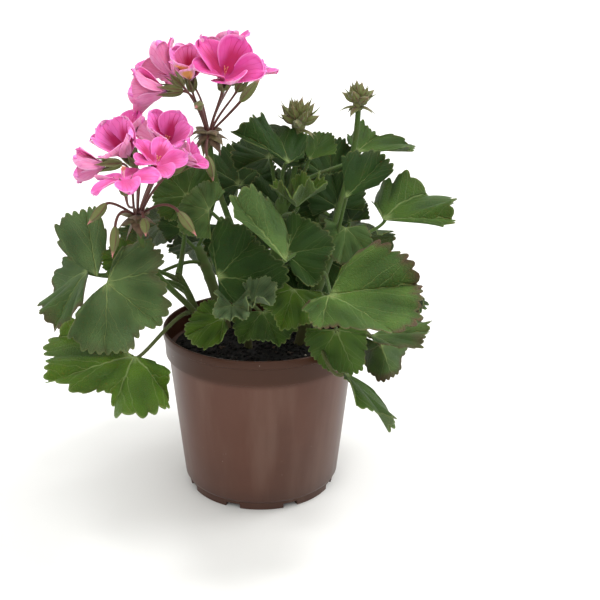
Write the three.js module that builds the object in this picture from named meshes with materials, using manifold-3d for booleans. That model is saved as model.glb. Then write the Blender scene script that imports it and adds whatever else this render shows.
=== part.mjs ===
// A pink zonal geranium growing in a thin-walled 13 cm nursery pot.
// Millimetres, +Z up, origin in the middle of the pot's underside. Azimuth 0 is +X, 90 is +Y, and -Y is the
// front.
import * as THREE from "three";
import Module from "manifold-3d";
import { mergeVertices } from "three/addons/utils/BufferGeometryUtils.js";

const wasm = await Module();
wasm.setup();

// ---- driving dimensions ----

const GAP = 0.3; // clearance between two pieces that only touch

const POT = {
  height: 112,
  rimRadius: 65,
  lipHeight: 5,
  collarHeight: 17,
  collarRadius: 63.6,
  bodyTopRadius: 61.6,
  bodyBottomRadius: 52.6,
  footRadius: 49.8,
  footHeight: 6,
  wall: 1.4,
  floor: 2,
  sides: 34,
};
const DRAIN = { count: 8, width: 10, height: 3.2, inner: 40, outer: 56 };
const SOIL = { top: 98, crown: 3, sides: 24 };

// Stalks rise from the stem, reach out, and come up under the blade. `lift`, `out`, `under` and `back` bend
// them, as shares of the way from end to end, and `inset` is how far inside the blade's edge they end.
const STALK = { radius: 1.15, sides: 4, steps: 4, inset: 1.3, lift: 0.28, out: 0.25, under: 0.2, back: 0.08 };
const STEM = { sides: 8, steps: 6, bendAt: 0.45, bendRise: 12 };
const LEAF_THICKNESS = 0.8;
const PETAL_THICKNESS = 0.7;

// How a blade is shaped, in degrees. Every rib leaves the stalk at the angle `cup` above the leaf's plane
// and bends by `curl` on its way to the edge, which ripples by `wave`. `lifts` tells how far the left and the
// right half are lifted. `edge` walks round the outline from right to left: the angle off the midrib, and how
// far out the edge is there, as a share of the midrib's length.
const RIPPLES = 5; // round a whole turn
const FORMS = {
  round: { cup: 4, curl: -10, wave: 16, lifts: [6, 6], edge: [
    [-150, 0.6], [-75, 0.9], [0, 1], [75, 0.9], [150, 0.6],
  ] },
  fan: { cup: 4, curl: -8, wave: 14, lifts: [4, 4], edge: [
    [-105, 0.7], [-50, 0.93], [0, 1], [50, 0.93], [105, 0.7],
  ] },
  wedge: { cup: 4, curl: -8, wave: 12, lifts: [8, 8], edge: [
    [-48, 0.7], [-24, 0.93], [0, 1], [25, 0.93], [50, 0.7],
  ] },
  tucked: { cup: 4, curl: -8, wave: 12, lifts: [4, 4], edge: [
    [-130, 0.3], [-77, 0.7], [-43, 1.15], [-10, 0.88], [37, 0.99], [62, 0.5],
  ] },
  upright: { cup: 4, curl: -8, wave: 12, lifts: [8, 8], edge: [
    [-32, 0.4], [-22, 0.75], [-8, 1.02], [10, 1.04], [28, 1.15], [38, 0.85], [48, 0.5],
  ] },
  slanted: { cup: 4, curl: -8, wave: 14, lifts: [4, 4], edge: [
    [-100, 0.5], [-80, 0.82], [-45, 1.15], [-18, 1], [6, 1.06], [30, 0.96], [52, 0.78], [70, 0.35],
  ] },
  broad: { cup: 4, curl: -8, wave: 14, lifts: [4, 4], edge: [
    [-100, 0.25], [-92, 0.65], [-82, 1], [-45, 1.03], [-30, 1.08], [-14, 0.84], [2, 0.96], [16, 0.99],
    [32, 0.86], [49, 0.73], [62, 0.87], [80, 0.94], [104, 0.62], [112, 0.35],
  ] },
  two_lobed: { cup: 4, curl: -12, wave: 16, lifts: [0, 4], edge: [
    [-62, 0.95], [-42, 1.05], [-16, 0.92], [3, 1], [14, 0.84], [32, 0.63], [42, 0.57], [50, 0.68],
    [61, 1.03], [74, 1.09], [90, 0.84], [112, 0.55], [134, 0.27],
  ] },
  crown: { cup: 4, curl: -10, wave: 18, lifts: [12, 4], edge: [
    [-116, 0.35], [-98, 0.56], [-66, 0.74], [-50, 1.05], [-31, 0.95], [-12, 0.9], [2, 1], [9, 0.66],
    [15, 0.4],
  ] },
  quarter: { cup: 4, curl: -8, wave: 12, lifts: [6, 0], edge: [
    [-82, 0.42], [-65, 0.84], [-40, 0.87], [-22, 0.88], [0, 1], [22, 1], [38, 0.84], [66, 0.86],
    [84, 0.75],
  ] },
  peaked: { cup: 4, curl: -10, wave: 22, lifts: [12, 0], edge: [
    [-14, 0.85], [5, 1.05], [27, 1.15], [36, 0.9], [47, 0.6], [62, 0.64], [86, 0.86], [102, 0.68],
    [125, 0.35],
  ] },
  edged: { cup: 4, curl: -8, wave: 18, lifts: [6, 0], edge: [
    [-24, 0.65], [-14, 0.97], [5, 1.02], [18, 0.98], [32, 0.92], [50, 0.75],
  ] },
  sweeping: { cup: 4, curl: -10, wave: 20, lifts: [12, 0], edge: [
    [-17, 0.85], [-8, 1], [6, 1], [24, 1.12], [42, 1.34], [50, 1.1], [62, 0.88], [85, 0.78], [98, 0.7],
    [110, 0.5],
  ] },
  lifted: { cup: 2, curl: -4, wave: 12, lifts: [28, 36], edge: [
    [-170, 0.2], [-135, 0.45], [-104, 0.67], [-91, 0.8], [-72, 1.28], [-48, 1.08], [-28, 1.1],
    [-12, 0.98], [4, 0.98], [22, 0.91], [39, 0.81], [48, 0.62], [56, 0.35],
  ] },
  fallen: { cup: 4, curl: -8, wave: 12, lifts: [8, 8], edge: [
    [-85, 0.4], [-66, 0.66], [-48, 0.76], [-28, 1.04], [-14, 0.95], [4, 1.03], [22, 1.14], [38, 1.05],
  ] },
  roofed: { cup: 0, curl: -10, wave: 12, lifts: [-30, -30], edge: [
    [-110, 0.8], [-82, 0.87], [-40, 1.12], [-18, 0.98], [6, 1.08], [22, 0.96], [52, 0.74], [95, 0.5],
  ] },
  strap: { cup: 4, curl: -14, wave: 12, lifts: [10, 10], edge: [
    [-80, 0.4], [-60, 0.72], [-35, 0.92], [-10, 1.07], [12, 1.16], [25, 1.17], [31, 0.7],
  ] },
  low: { cup: 4, curl: -8, wave: 20, lifts: [4, 4], edge: [
    [-100, 0.6], [-46, 0.75], [-20, 0.97], [10, 1.15], [27, 1.05], [50, 0.69], [80, 0.4],
  ] },
  funnel: { cup: 46, curl: 4, wave: 20, lifts: [0, 0], edge: [[-150, 0.8], [0, 1], [150, 0.8]] },
  drooped: { cup: -4, curl: -26, wave: 14, lifts: [0, 0], edge: [
    [-110, 0.8], [-55, 0.95], [-20, 0.8], [30, 1.05], [110, 0.8],
  ] },
  closed: { cup: 0, curl: -6, wave: 14, lifts: [-58, -58], edge: [
    [-110, 0.8], [-30, 1.05], [0, 0.9], [40, 1.05], [110, 0.8],
  ] },
  young: { cup: 22, curl: 10, wave: 26, lifts: [26, 26], edge: [[-120, 0.7], [0, 1], [120, 0.7]] },
  ruffled: { cup: 4, curl: -4, wave: 26, lifts: [0, 4], edge: [
    [-54, 0.35], [-42, 0.75], [-28, 0.9], [-17, 0.86], [-8, 1], [3, 1.04], [10, 0.8],
  ] },
};

// Leafy stems: foot in the soil, tip, and radius.
const STEMS = {
  left: { foot: [-26, -4, 74], tip: [-54, -8, 150], radius: 2.5 },
  front: { foot: [-8, -8, 74], tip: [-10, -24, 172], radius: 2.8 },
  right: { foot: [20, -4, 74], tip: [46, -8, 168], radius: 4 },
  top: { foot: [4, 10, 74], tip: [14, 8, 196], radius: 4.4 },
  back_left: { foot: [-18, 22, 74], tip: [-44, 52, 150], radius: 4 },
  back_right: { foot: [22, 22, 74], tip: [46, 54, 152], radius: 4 },
};

// Each leaf: its stem and the place on it (0 foot, 1 tip), where stalk meets blade, the azimuth and elevation
// that the upper side faces, the turn of the midrib (0 points down the slope, counter-clockwise seen from
// above the blade), the midrib's length, the form, and the phase of the ripples.
const LEAVES = [
  ["left", 0.9, [-103, -22, 153], [-108, 27], -161, 46, "upright", 20],
  ["left", 0.75, [-113, 2, 149], [-152, 41], 2, 44, "slanted", 80],
  ["left", 0.8, [-91, -64, 163], [-82, 32], 48, 44, "broad", 150],
  ["left", 0.55, [-75, -80, 123], [-83, 70], -70, 57, "two_lobed", 10],
  ["left", 1.0, [-47, 5, 198], [-101, 35], -135, 26, "round", 40],
  ["left", 0.95, [-50, 14, 173], [-110, 27], -158, 22, "fan", 90],
  ["left", 0.85, [-81, -36, 168], [-100, 34], -88, 18, "fan", 30],
  ["front", 0.75, [-26, -54, 163], [-88, 23], 135, 40, "tucked", 60],
  ["right", 0.95, [15, -74, 179], [-60, 40], -154, 52, "ruffled", 30],
  ["right", 1.0, [15, -50, 176], [-93, 35], 103, 32, "quarter", 100],
  ["front", 0.5, [-23, -50, 135], [-88, 56], -60, 26, "low", 0],
  ["front", 0.7, [-17, -68, 150], [-88, 50], -4, 22, "young", 0],
  ["front", 0.65, [-5, -66, 151], [-89, 60], 103, 20, "young", 40],
  ["front", 0.55, [1, -30, 132], [-90, 62], 20, 30, "fan", 70],
  ["front", 0.65, [20, -44, 152], [-72, 40], -28, 28, "fan", 120],
  ["front", 1.0, [-30, -56, 205], [-87, 25], -108, 22, "drooped", 50],
  ["right", 0.75, [40, -76, 159], [-100, 49], 102, 58, "lifted", 0],
  ["right", 0.6, [45, -70, 135], [-94, 13], 24, 30, "roofed", 40],
  ["right", 0.4, [48, -92, 117], [-5, 50], -15, 41, "strap", 90],
  ["right", 0.6, [69, -45, 121], [-131, 82], 127, 38, "fallen", 10],
  ["right", 0.5, [79, -14, 103], [-88, 4], 20, 32, "closed", 70],
  ["right", 0.8, [59, 12, 179], [-124, 48], -142, 20, "fan", 30],
  ["right", 0.7, [54, -12, 182], [-64, 14], -14, 25, "fan", 60],
  ["right", 0.85, [50, 8, 190], [-86, 36], -176, 26, "fan", 80],
  ["right", 0.9, [80, 6, 182], [-106, 73], 100, 49, "sweeping", 0],
  ["right", 1.0, [52, -30, 206], [-95, 34], 137, 38, "edged", 20],
  ["top", 1.0, [65, 35, 221], [-105, 73], 100, 38, "peaked", 40],
  ["top", 0.95, [17, -24, 226], [-50, 49], -148, 42, "crown", 60],
  ["top", 1.0, [6, 10, 222], [-91, 57], -173, 30, "round", 0],
  ["top", 0.9, [31, 0, 223], [-93, 52], 156, 26, "wedge", 30],
  ["top", 0.85, [22, -34, 201], [-92, 85], 43, 28, "funnel", 80],
  ["top", 0.9, [-14, 30, 200], [-89, 38], -175, 32, "round", 20],
  ["top", 0.95, [47, 40, 201], [-94, 38], 180, 32, "round", 50],
  ["top", 0.6, [-16, 26, 172], [-90, 40], 10, 32, "fan", 100],
  ["top", 0.7, [38, 28, 174], [-90, 40], -10, 32, "fan", 10],
  ["top", 0.85, [14, 16, 186], [-90, 36], 175, 32, "round", 70],
  ["top", 0.45, [8, 22, 152], [-90, 34], 0, 34, "round", 10],
  ["top", 0.55, [44, 20, 150], [-84, 30], 5, 30, "round", 40],
  ["back_left", 0.9, [-66, 58, 168], [135, 40], 0, 40, "round", 0],
  ["back_left", 0.8, [-86, 38, 134], [165, 40], -10, 38, "round", 60],
  ["back_left", 0.7, [-34, 84, 144], [105, 50], -10, 42, "round", 120],
  ["back_left", 1.0, [-30, 66, 188], [100, 66], 20, 34, "round", 30],
  ["back_right", 0.9, [62, 62, 160], [50, 50], 0, 40, "round", 20],
  ["back_right", 0.7, [90, 40, 134], [15, 40], 10, 40, "round", 90],
  ["back_right", 0.8, [34, 90, 138], [75, 40], -14, 38, "round", 40],
  ["back_right", 1.0, [34, 70, 188], [80, 65], -20, 34, "round", 70],
];

// Umbels: the stem and place they grow from, the node that the flowers spread from, and the numbers of bracts
// that stand out and that hang.
const UMBELS = {
  lower: { stem: "left", place: 0.4, node: [-72, -55, 202], bracts: 7, hanging: 2 },
  upper: { stem: "front", place: 0.8, node: [-31, -20, 245], bracts: 9, hanging: 4 },
};

// Each floret: its umbel, its throat, the azimuth and elevation it faces, the turn of its first petal, the
// petals' length, the angle that they rise at, and how much they curl over.
const FLORETS = [
  ["upper", [-54, -33, 271], [180, 0], 20, 24, 60, 0],
  ["upper", [-53, -2, 275], [155, 40], 0, 24, 56, -14],
  ["upper", [-41, -24, 276], [-96, 56], 30, 22, 64, 0],
  ["upper", [-21, -38, 278], [-78, 50], 0, 27, 46, -12],
  ["upper", [-21, 10, 283], [100, 80], 40, 22, 56, -20],
  ["upper", [-10, -4, 274], [0, 60], 0, 21, 52, -20],
  ["upper", [-46, 27, 271], [125, 36], 10, 21, 45, -30],
  ["upper", [-16, 30, 272], [66, 36], 50, 21, 45, -30],
  ["lower", [-73, -76, 241], [-125, 48], 20, 24, 58, 0],
  ["lower", [-76, -44, 240], [-175, 72], 0, 22, 54, -16],
  ["lower", [-54, -52, 242], [-74, 52], 0, 22, 54, -8],
  ["lower", [-57, -86, 238], [-64, 58], 0, 18, 34, -20],
  ["lower", [-72, -106, 235], [-105, 84], 30, 20, 0, -14],
  ["lower", [-44, -68, 235], [-4, 36], 36, 15, 50, -14],
  ["lower", [-88, -60, 233], [-174, -4], 0, 19, 62, 0],
  ["lower", [-60, -22, 235], [81, 40], 30, 21, 45, -30],
];

// Each hanging bud: its umbel, the bend of its stalk, its tip, and its length.
const BUDS = [
  ["upper", [-33, -36, 238], [-28, -38, 217], 17],
  ["upper", [-18, -22, 256], [1, -24, 278], 20],
  ["upper", [-36, -30, 262], [-38, -38, 262], 12],
  ["lower", [-86, -64, 214], [-100, -66, 199], 17],
  ["lower", [-82, -66, 212], [-86, -70, 180], 19],
  ["lower", [-68, -66, 210], [-66, -70, 193], 11],
  ["lower", [-54, -64, 216], [-37, -66, 192], 18],
];

// Unopened heads on stout stalks: stem and place, the head's foot, and its size.
const HEADS = {
  middle: { stem: "top", place: 0.7, foot: [24, 4, 240], radius: 11, points: 16 },
  right: { stem: "right", place: 0.9, foot: [63, 20, 252], radius: 9, points: 12 },
};

// ---- vectors ----

const radians = THREE.MathUtils.degToRad;
const vec = (x, y, z) => new THREE.Vector3(x, y, z);
const UP = vec(0, 0, 1);

// A unit vector that points along an azimuth and an elevation.
function bearing(azimuth, elevation) {
  const a = radians(azimuth);
  const e = radians(elevation);
  return vec(Math.cos(e) * Math.cos(a), Math.cos(e) * Math.sin(a), Math.sin(e));
}

// How far out and up an arc has come that starts at an angle and bends evenly, at a share of its length.
function arc(start, bend, share) {
  if (Math.abs(bend) < 1e-3) return { out: share * Math.cos(start), rise: share * Math.sin(start) };
  const end = start + bend * share;
  return { out: (Math.sin(end) - Math.sin(start)) / bend, rise: (Math.cos(start) - Math.cos(end)) / bend };
}

// ---- solids ----

// A closed indexed mesh as a manifold solid, from flat lists of coordinates and corner numbers.
function solid(coordinates, corners) {
  const vertProperties = new Float32Array(coordinates);
  const triVerts = new Uint32Array(corners);
  return new wasm.Manifold(new wasm.Mesh({ numProp: 3, vertProperties, triVerts }));
}

function solidFromGeometry(geometry) {
  const bare = new THREE.BufferGeometry().setAttribute("position", geometry.getAttribute("position"));
  if (geometry.index) bare.setIndex(geometry.index);
  const merged = mergeVertices(bare, 1e-4);
  return solid(merged.getAttribute("position").array, merged.index.array);
}

const fuse = (pieces) => wasm.Manifold.union(pieces);

// A curved sheet made thick: the same triangles on both faces, and a rim along its edge loop.
function sheet(points, triangles, edge, thickness) {
  const normals = points.map(() => vec(0, 0, 0));
  for (const [a, b, c] of triangles) {
    const n = points[b].clone().sub(points[a]).cross(points[c].clone().sub(points[a]));
    for (const i of [a, b, c]) normals[i].add(n);
  }
  normals.forEach((n) => n.setLength(thickness / 2));
  const upper = points.map((p, i) => p.clone().add(normals[i]));
  const under = points.map((p, i) => p.clone().sub(normals[i]));
  const lower = (i) => i + points.length;
  const faces = triangles.flatMap(([a, b, c]) => [[a, b, c], [lower(a), lower(c), lower(b)]]);
  edge.forEach((a, k) => {
    const b = edge[(k + 1) % edge.length];
    faces.push([a, lower(a), lower(b)], [a, lower(b), b]);
  });
  return solid([...upper, ...under].flatMap((p) => [p.x, p.y, p.z]), faces.flat());
}

function roundShape(radius, sides) {
  const corners = Array.from({ length: sides }, (_, k) => {
    const angle = (2 * Math.PI * k) / sides;
    return new THREE.Vector2(radius * Math.cos(angle), radius * Math.sin(angle));
  });
  return new THREE.Shape(corners);
}

// A tube of constant radius along a curve.
function tube(curve, radius, sides, steps) {
  const options = { steps, bevelEnabled: false, extrudePath: curve };
  return solidFromGeometry(new THREE.ExtrudeGeometry(roundShape(radius, sides), options));
}

// A lathe-turned body from a list of [distance, radius] along a line from `from` towards `along`.
function turned(profile, from, along, sides) {
  const outline = profile.map(([d, r]) => new THREE.Vector2(r, d));
  const geometry = new THREE.LatheGeometry(outline, sides);
  const turn = new THREE.Quaternion().setFromUnitVectors(vec(0, 1, 0), along.clone().normalize());
  geometry.applyQuaternion(turn).translate(from.x, from.y, from.z);
  return solidFromGeometry(geometry);
}

// ---- pot and soil ----

function potProfile() {
  const p = POT;
  const collarFoot = p.height - p.collarHeight;
  const outer = [
    [0, 0],
    [p.footRadius, 0],
    [p.footRadius + 0.4, p.footHeight - 1],
    [p.bodyBottomRadius - 1.2, p.footHeight],
    [p.bodyBottomRadius, p.footHeight + 2],
    [p.bodyTopRadius, collarFoot - 1],
    [p.collarRadius, collarFoot],
    [p.rimRadius - 0.9, p.height - p.lipHeight - 0.6],
    [p.rimRadius, p.height - p.lipHeight],
    [p.rimRadius, p.height - 0.6],
    [p.rimRadius - 0.6, p.height],
  ];
  const inner = [
    [p.rimRadius - p.wall - 0.4, p.height],
    [p.collarRadius - p.wall, collarFoot + 0.8],
    [p.bodyTopRadius - p.wall, collarFoot - 1],
    [p.bodyBottomRadius - p.wall, p.footHeight + 2.4],
    [p.footRadius - p.wall, p.footHeight],
    [p.footRadius - p.wall - 0.4, p.floor],
    [0, p.floor],
  ];
  return [...outer, ...inner].map(([r, z]) => new THREE.Vector2(r, z));
}

function makePot() {
  const lathe = new THREE.LatheGeometry(potProfile(), POT.sides);
  const shell = solidFromGeometry(lathe.rotateX(Math.PI / 2));
  const slots = Array.from({ length: DRAIN.count }, (_, k) => {
    const slot = new THREE.BoxGeometry(DRAIN.outer - DRAIN.inner, DRAIN.width, 2 * DRAIN.height);
    slot.translate((DRAIN.inner + DRAIN.outer) / 2, 0, 0).rotateZ((2 * Math.PI * (k + 0.5)) / DRAIN.count);
    return solidFromGeometry(slot);
  });
  return shell.subtract(fuse(slots));
}

// The inside radius of the pot at a height, less the gap that the soil keeps.
function soilRadius(z) {
  const low = { r: POT.bodyBottomRadius - POT.wall, z: POT.footHeight + 2.4 };
  const high = { r: POT.bodyTopRadius - POT.wall, z: POT.height - POT.collarHeight - 1 };
  const slope = (high.r - low.r) / (high.z - low.z);
  return low.r + slope * (z - low.z) - GAP - 0.1;
}

function makeSoil() {
  const bottom = POT.floor + GAP;
  const knee = POT.footHeight + 2.4;
  const outline = [
    [0, bottom],
    [POT.footRadius - POT.wall - 1, bottom],
    [POT.footRadius - POT.wall - 1, POT.footHeight],
    [soilRadius(knee), knee + 0.6],
    [soilRadius(POT.height - POT.collarHeight - 2), POT.height - POT.collarHeight - 2],
    [soilRadius(SOIL.top) - 1, SOIL.top],
    [soilRadius(SOIL.top) * 0.5, SOIL.top + SOIL.crown * 0.8],
    [0, SOIL.top + SOIL.crown],
  ].map(([r, z]) => new THREE.Vector2(r, z));
  const plug = solidFromGeometry(new THREE.LatheGeometry(outline, SOIL.sides).rotateX(Math.PI / 2));
  const holes = Object.values(STEMS).map((s) => {
    const c = stemCurve(s);
    const below = c.getPoint(0).addScaledVector(c.getTangent(0), -GAP);
    const path = new THREE.QuadraticBezierCurve3(below, c.getPoint(0.25), c.getPoint(0.5));
    return tube(path, s.radius + 2 * GAP, STEM.sides, 3);
  });
  return plug.subtract(fuse(holes));
}

// ---- leaves ----

const TOOTH_PITCH = 29; // degrees
const BAND_PITCH = 45;
const BAND_SHARE = 0.55;
const TOOTH = { tip: 1.01, notch: 0.95 }; // shares of the edge radius

// The blade's edge radius, as a share of the midrib, at an angle in degrees from the midrib.
function edgeShare(form, angle) {
  const k = form.edge.findIndex(([knot], i) => i > 0 && angle <= knot + 1e-6);
  const [[from, near], [to, far]] = form.edge.slice(k - 1, k + 1);
  return THREE.MathUtils.lerp(near, far, THREE.MathUtils.smoothstep(angle, from, to));
}

// The frame of a leaf: its normal, its midrib, and the direction to the left of the midrib.
function leafFrame([azimuth, elevation], turn) {
  const normal = bearing(azimuth, elevation);
  const down = UP.clone().negate().addScaledVector(normal, normal.z).normalize();
  const midrib = down.applyAxisAngle(normal, radians(turn));
  return { normal, midrib, side: normal.clone().cross(midrib) };
}

// A point of the blade, at degrees from the midrib and at a share of the midrib's length from the stalk.
function bladePoint(leaf, angle, share) {
  const { cup, curl, wave, lifts } = leaf.form;
  const lift = lifts[angle > 0 ? 0 : 1];
  const sideways = Math.sin(radians(angle));
  const bend = radians(curl + wave * Math.cos(radians(RIPPLES * angle + leaf.phase)));
  const { out, rise } = arc(radians(cup + lift * Math.abs(sideways)), bend, share);
  return leaf.at.clone()
    .addScaledVector(leaf.midrib, leaf.length * out * Math.cos(radians(angle)))
    .addScaledVector(leaf.side, leaf.length * out * sideways)
    .addScaledVector(leaf.normal, leaf.length * rise);
}

// Angles from the right end of a blade to its left end, in an even number of steps of about `pitch`.
function bladeAngles(form, pitch) {
  const right = form.edge[0][0];
  const turn = form.edge.at(-1)[0] - right;
  const steps = 2 * Math.round(turn / pitch / 2);
  return Array.from({ length: steps + 1 }, (_, k) => right + (turn * k) / steps);
}

// Triangles between two rows of points that run the same way, by their shares from 0 to 1.
function bandTriangles(inner, outer) {
  const triangles = [];
  let i = 0;
  let j = 0;
  while (i < inner.length - 1 || j < outer.length - 1) {
    const nextInner = (i + 1) / (inner.length - 1);
    const nextOuter = (j + 1) / (outer.length - 1);
    if (j < outer.length - 1 && (i === inner.length - 1 || nextOuter <= nextInner)) {
      triangles.push([inner[i], outer[j], outer[j + 1]]);
      j += 1;
    } else {
      triangles.push([inner[i], outer[j], inner[i + 1]]);
      i += 1;
    }
  }
  return triangles;
}

function makeBlade(leaf) {
  const points = [leaf.at.clone()];
  const put = (angle, share) => points.push(bladePoint(leaf, angle, share * edgeShare(leaf.form, angle))) - 1;
  const inner = bladeAngles(leaf.form, BAND_PITCH).map((angle) => put(angle, BAND_SHARE));
  const outer = bladeAngles(leaf.form, TOOTH_PITCH / 2).map((angle, k) => {
    return put(angle, k % 2 ? TOOTH.tip : TOOTH.notch);
  });
  const fan = inner.slice(1).map((b, k) => [0, inner[k], b]);
  const edge = [0, inner[0], ...outer, inner.at(-1)];
  return sheet(points, [...fan, ...bandTriangles(inner, outer)], edge, LEAF_THICKNESS);
}

function stemCurve(stem) {
  const foot = vec(...stem.foot);
  const tip = vec(...stem.tip);
  const bend = foot.clone().lerp(tip, STEM.bendAt).addScaledVector(UP, STEM.bendRise);
  return new THREE.QuadraticBezierCurve3(foot, bend, tip);
}

function makeStalk(leaf, stem) {
  const start = stemCurve(stem).getPoint(leaf.place);
  const end = bladePoint(leaf, 0, STALK.inset / leaf.length);
  const reach = start.distanceTo(end);
  const outward = end.clone().sub(start).setZ(0).normalize();
  const risen = start.clone().addScaledVector(outward, reach * STALK.out);
  risen.addScaledVector(UP, reach * STALK.lift);
  const under = end.clone().addScaledVector(leaf.normal, -reach * STALK.under);
  under.addScaledVector(outward, -reach * STALK.back);
  const path = new THREE.CubicBezierCurve3(start, risen, under, end);
  return tube(path, STALK.radius, STALK.sides, STALK.steps);
}

function leafFrom([stem, place, at, face, turn, length, form, phase]) {
  return { stem, place, at: vec(...at), length, phase, form: FORMS[form], ...leafFrame(face, turn) };
}

// ---- flowers ----

const PEDICEL = { radius: 0.8, sides: 3, steps: 4, rise: 0.12, turnAt: 0.35, straight: 0.25, sunk: 1.5 };
const PEDUNCLE = { radius: 1.9, sides: 6, steps: 6, lean: 0.2, rise: 0.12, straight: 0.42, back: 8 };
const CALYX = { length: 9, foot: 0.9, top: 2.4, sides: 5 };
const BRACT = { length: 12, radius: 2.3, widest: 0.4, stagger: 15, from: 2 };
const WHORLS = { upper: [30, -15], hanging: [-45, -62], head: [12, -6] }; // elevations, turn and turn about
const PETALS = 5;
const PETAL_EDGE = [[-31, 0.72], [-13, 0.99], [13, 0.99], [31, 0.72]]; // degrees off its middle, share
const PETAL_MIDDLE = 0.58;
const PETAL_CLEFT = 0.36; // how near the throat the gaps between petals reach

// A pointed bud or bract: a spindle of four sides, thickest at a share of its length.
function spindle(from, along, length, radius, share) {
  return turned([[0, 0], [length * share, radius], [length, 0]], from, along, 4);
}

function floretFrom([umbel, at, face, spin, length, rise, curl]) {
  const { normal, midrib } = leafFrame(face, spin);
  return { umbel, at: vec(...at), axis: normal, midrib, length, rise: radians(rise), curl: radians(curl) };
}

// A point of the five-petalled sheet at an angle round the floret's axis and a share of the petals' length.
function corollaPoint(floret, degrees, share) {
  const { out, rise } = arc(floret.rise, floret.curl, share);
  const outward = floret.midrib.clone().applyAxisAngle(floret.axis, radians(degrees));
  return floret.at.clone()
    .addScaledVector(floret.axis, GAP + PETAL_THICKNESS / 2 + floret.length * rise)
    .addScaledVector(outward, floret.length * out);
}

function makeFloret(floret) {
  const points = [corollaPoint(floret, 0, 0)];
  const put = (degrees, share) => points.push(corollaPoint(floret, degrees, share)) - 1;
  const pitch = 360 / PETALS;
  const petals = Array.from({ length: PETALS }, (_, k) => ({
    cleft: put(pitch * (k - 0.5), PETAL_CLEFT),
    edge: PETAL_EDGE.map(([off, share]) => put(pitch * k + off, share)),
    middle: put(pitch * k, PETAL_MIDDLE),
  }));
  const triangles = petals.flatMap(({ cleft, edge, middle }, k) => {
    const rim = [cleft, ...edge, petals[(k + 1) % PETALS].cleft];
    const fan = rim.slice(1).map((b, i) => [rim[i], b, middle]);
    return [[0, cleft, middle], [0, middle, rim.at(-1)], ...fan];
  });
  const edge = petals.flatMap((p) => [p.cleft, ...p.edge]);
  return sheet(points, triangles, edge, PETAL_THICKNESS);
}

// Where a stalk that goes towards a point leaves a flower node.
function nodeEdge(middle, towards) {
  const out = towards.clone().sub(middle).setZ(0).normalize();
  return middle.clone().addScaledVector(out, KNOB.footRadius);
}

// A stalk that leaves the node upwards and ends along the floret's axis, with the green cup on it.
function makeFlowerStalk(middle, floret) {
  const foot = floret.at.clone().addScaledVector(floret.axis, -CALYX.length);
  const node = nodeEdge(middle, foot);
  const reach = node.distanceTo(foot);
  const rise = node.clone().lerp(foot, PEDICEL.turnAt).addScaledVector(UP, reach * PEDICEL.rise);
  const before = foot.clone().addScaledVector(floret.axis, -reach * PEDICEL.straight);
  const end = foot.clone().addScaledVector(floret.axis, PEDICEL.sunk);
  const path = new THREE.CubicBezierCurve3(node, rise, before, end);
  const stalk = tube(path, PEDICEL.radius, PEDICEL.sides, PEDICEL.steps);
  const cup = [[0, 0], [0, CALYX.foot], [CALYX.length, CALYX.top], [CALYX.length, 0]];
  return fuse([stalk, turned(cup, foot, floret.axis, CALYX.sides)]);
}

const BUD = { radius: 2.4, widest: 0.45, packedRadius: 2.6, packedWidest: 0.6 };

function makeBud(middle, [, bend, tip, length]) {
  const node = nodeEdge(middle, vec(...tip));
  const path = new THREE.QuadraticBezierCurve3(node, vec(...bend), vec(...tip));
  const along = path.getTangent(1);
  const foot = vec(...tip).addScaledVector(along, -length);
  const stalk = new THREE.QuadraticBezierCurve3(node, vec(...bend), foot.clone().addScaledVector(along, 1));
  const bud = spindle(foot, along, length, BUD.radius, BUD.widest);
  return fuse([tube(stalk, PEDICEL.radius, PEDICEL.sides, PEDICEL.steps), bud]);
}

// Pointed bracts that lean out all round a node, at two elevations by turns.
function makeBracts(at, count, [raised, lowered]) {
  return Array.from({ length: count }, (_, k) => {
    const odd = k % 2 === 1;
    const azimuth = (360 * k) / count + (odd ? BRACT.stagger : 0);
    const foot = at.clone().addScaledVector(bearing(azimuth, 0), BRACT.from);
    return spindle(foot, bearing(azimuth, odd ? raised : lowered), BRACT.length, BRACT.radius, BRACT.widest);
  });
}

const KNOB = { low: -2.5, high: 2, radius: 3.2, footRadius: 1.7 };

// The red-brown spray of an umbel: the knob at its node, bracts, flower stalks and hanging buds.
function makeSpray(name) {
  const umbel = UMBELS[name];
  const node = vec(...umbel.node);
  const florets = FLORETS.map(floretFrom).filter((f) => f.umbel === name);
  return fuse([
    turned([[KNOB.low, 0], [0, KNOB.radius], [KNOB.high, 0]], node, UP, 6),
    ...makeBracts(node, umbel.bracts, WHORLS.upper),
    ...makeBracts(node, umbel.hanging, WHORLS.hanging),
    ...florets.map((f) => makeFlowerStalk(node, f)),
    ...BUDS.filter((b) => b[0] === name).map((b) => makeBud(node, b)),
  ]);
}

// The stout stalk that carries a spray or a head of buds up from its stem.
function makePeduncle(stem, place, top) {
  const start = stemCurve(STEMS[stem]).getPoint(place);
  const reach = start.distanceTo(top);
  const low = start.clone().lerp(top, PEDUNCLE.lean).addScaledVector(UP, reach * PEDUNCLE.rise);
  const high = top.clone().add(vec(0, PEDUNCLE.back, -reach * PEDUNCLE.straight));
  const path = new THREE.CubicBezierCurve3(start, low, high, top);
  return tube(path, PEDUNCLE.radius, PEDUNCLE.sides, PEDUNCLE.steps);
}

// A head of pointed green buds packed on a small core, with bracts under it. `core` and `reach` are shares of
// the head's radius, and the buds' elevations go down from `top` by `span`.
const GOLDEN_TURN = 137.5;
const BUD_HEAD = { core: 0.55, reach: 1.15, top: 88, span: 84, bracts: 6, sides: 6, sunk: 2 };

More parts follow.
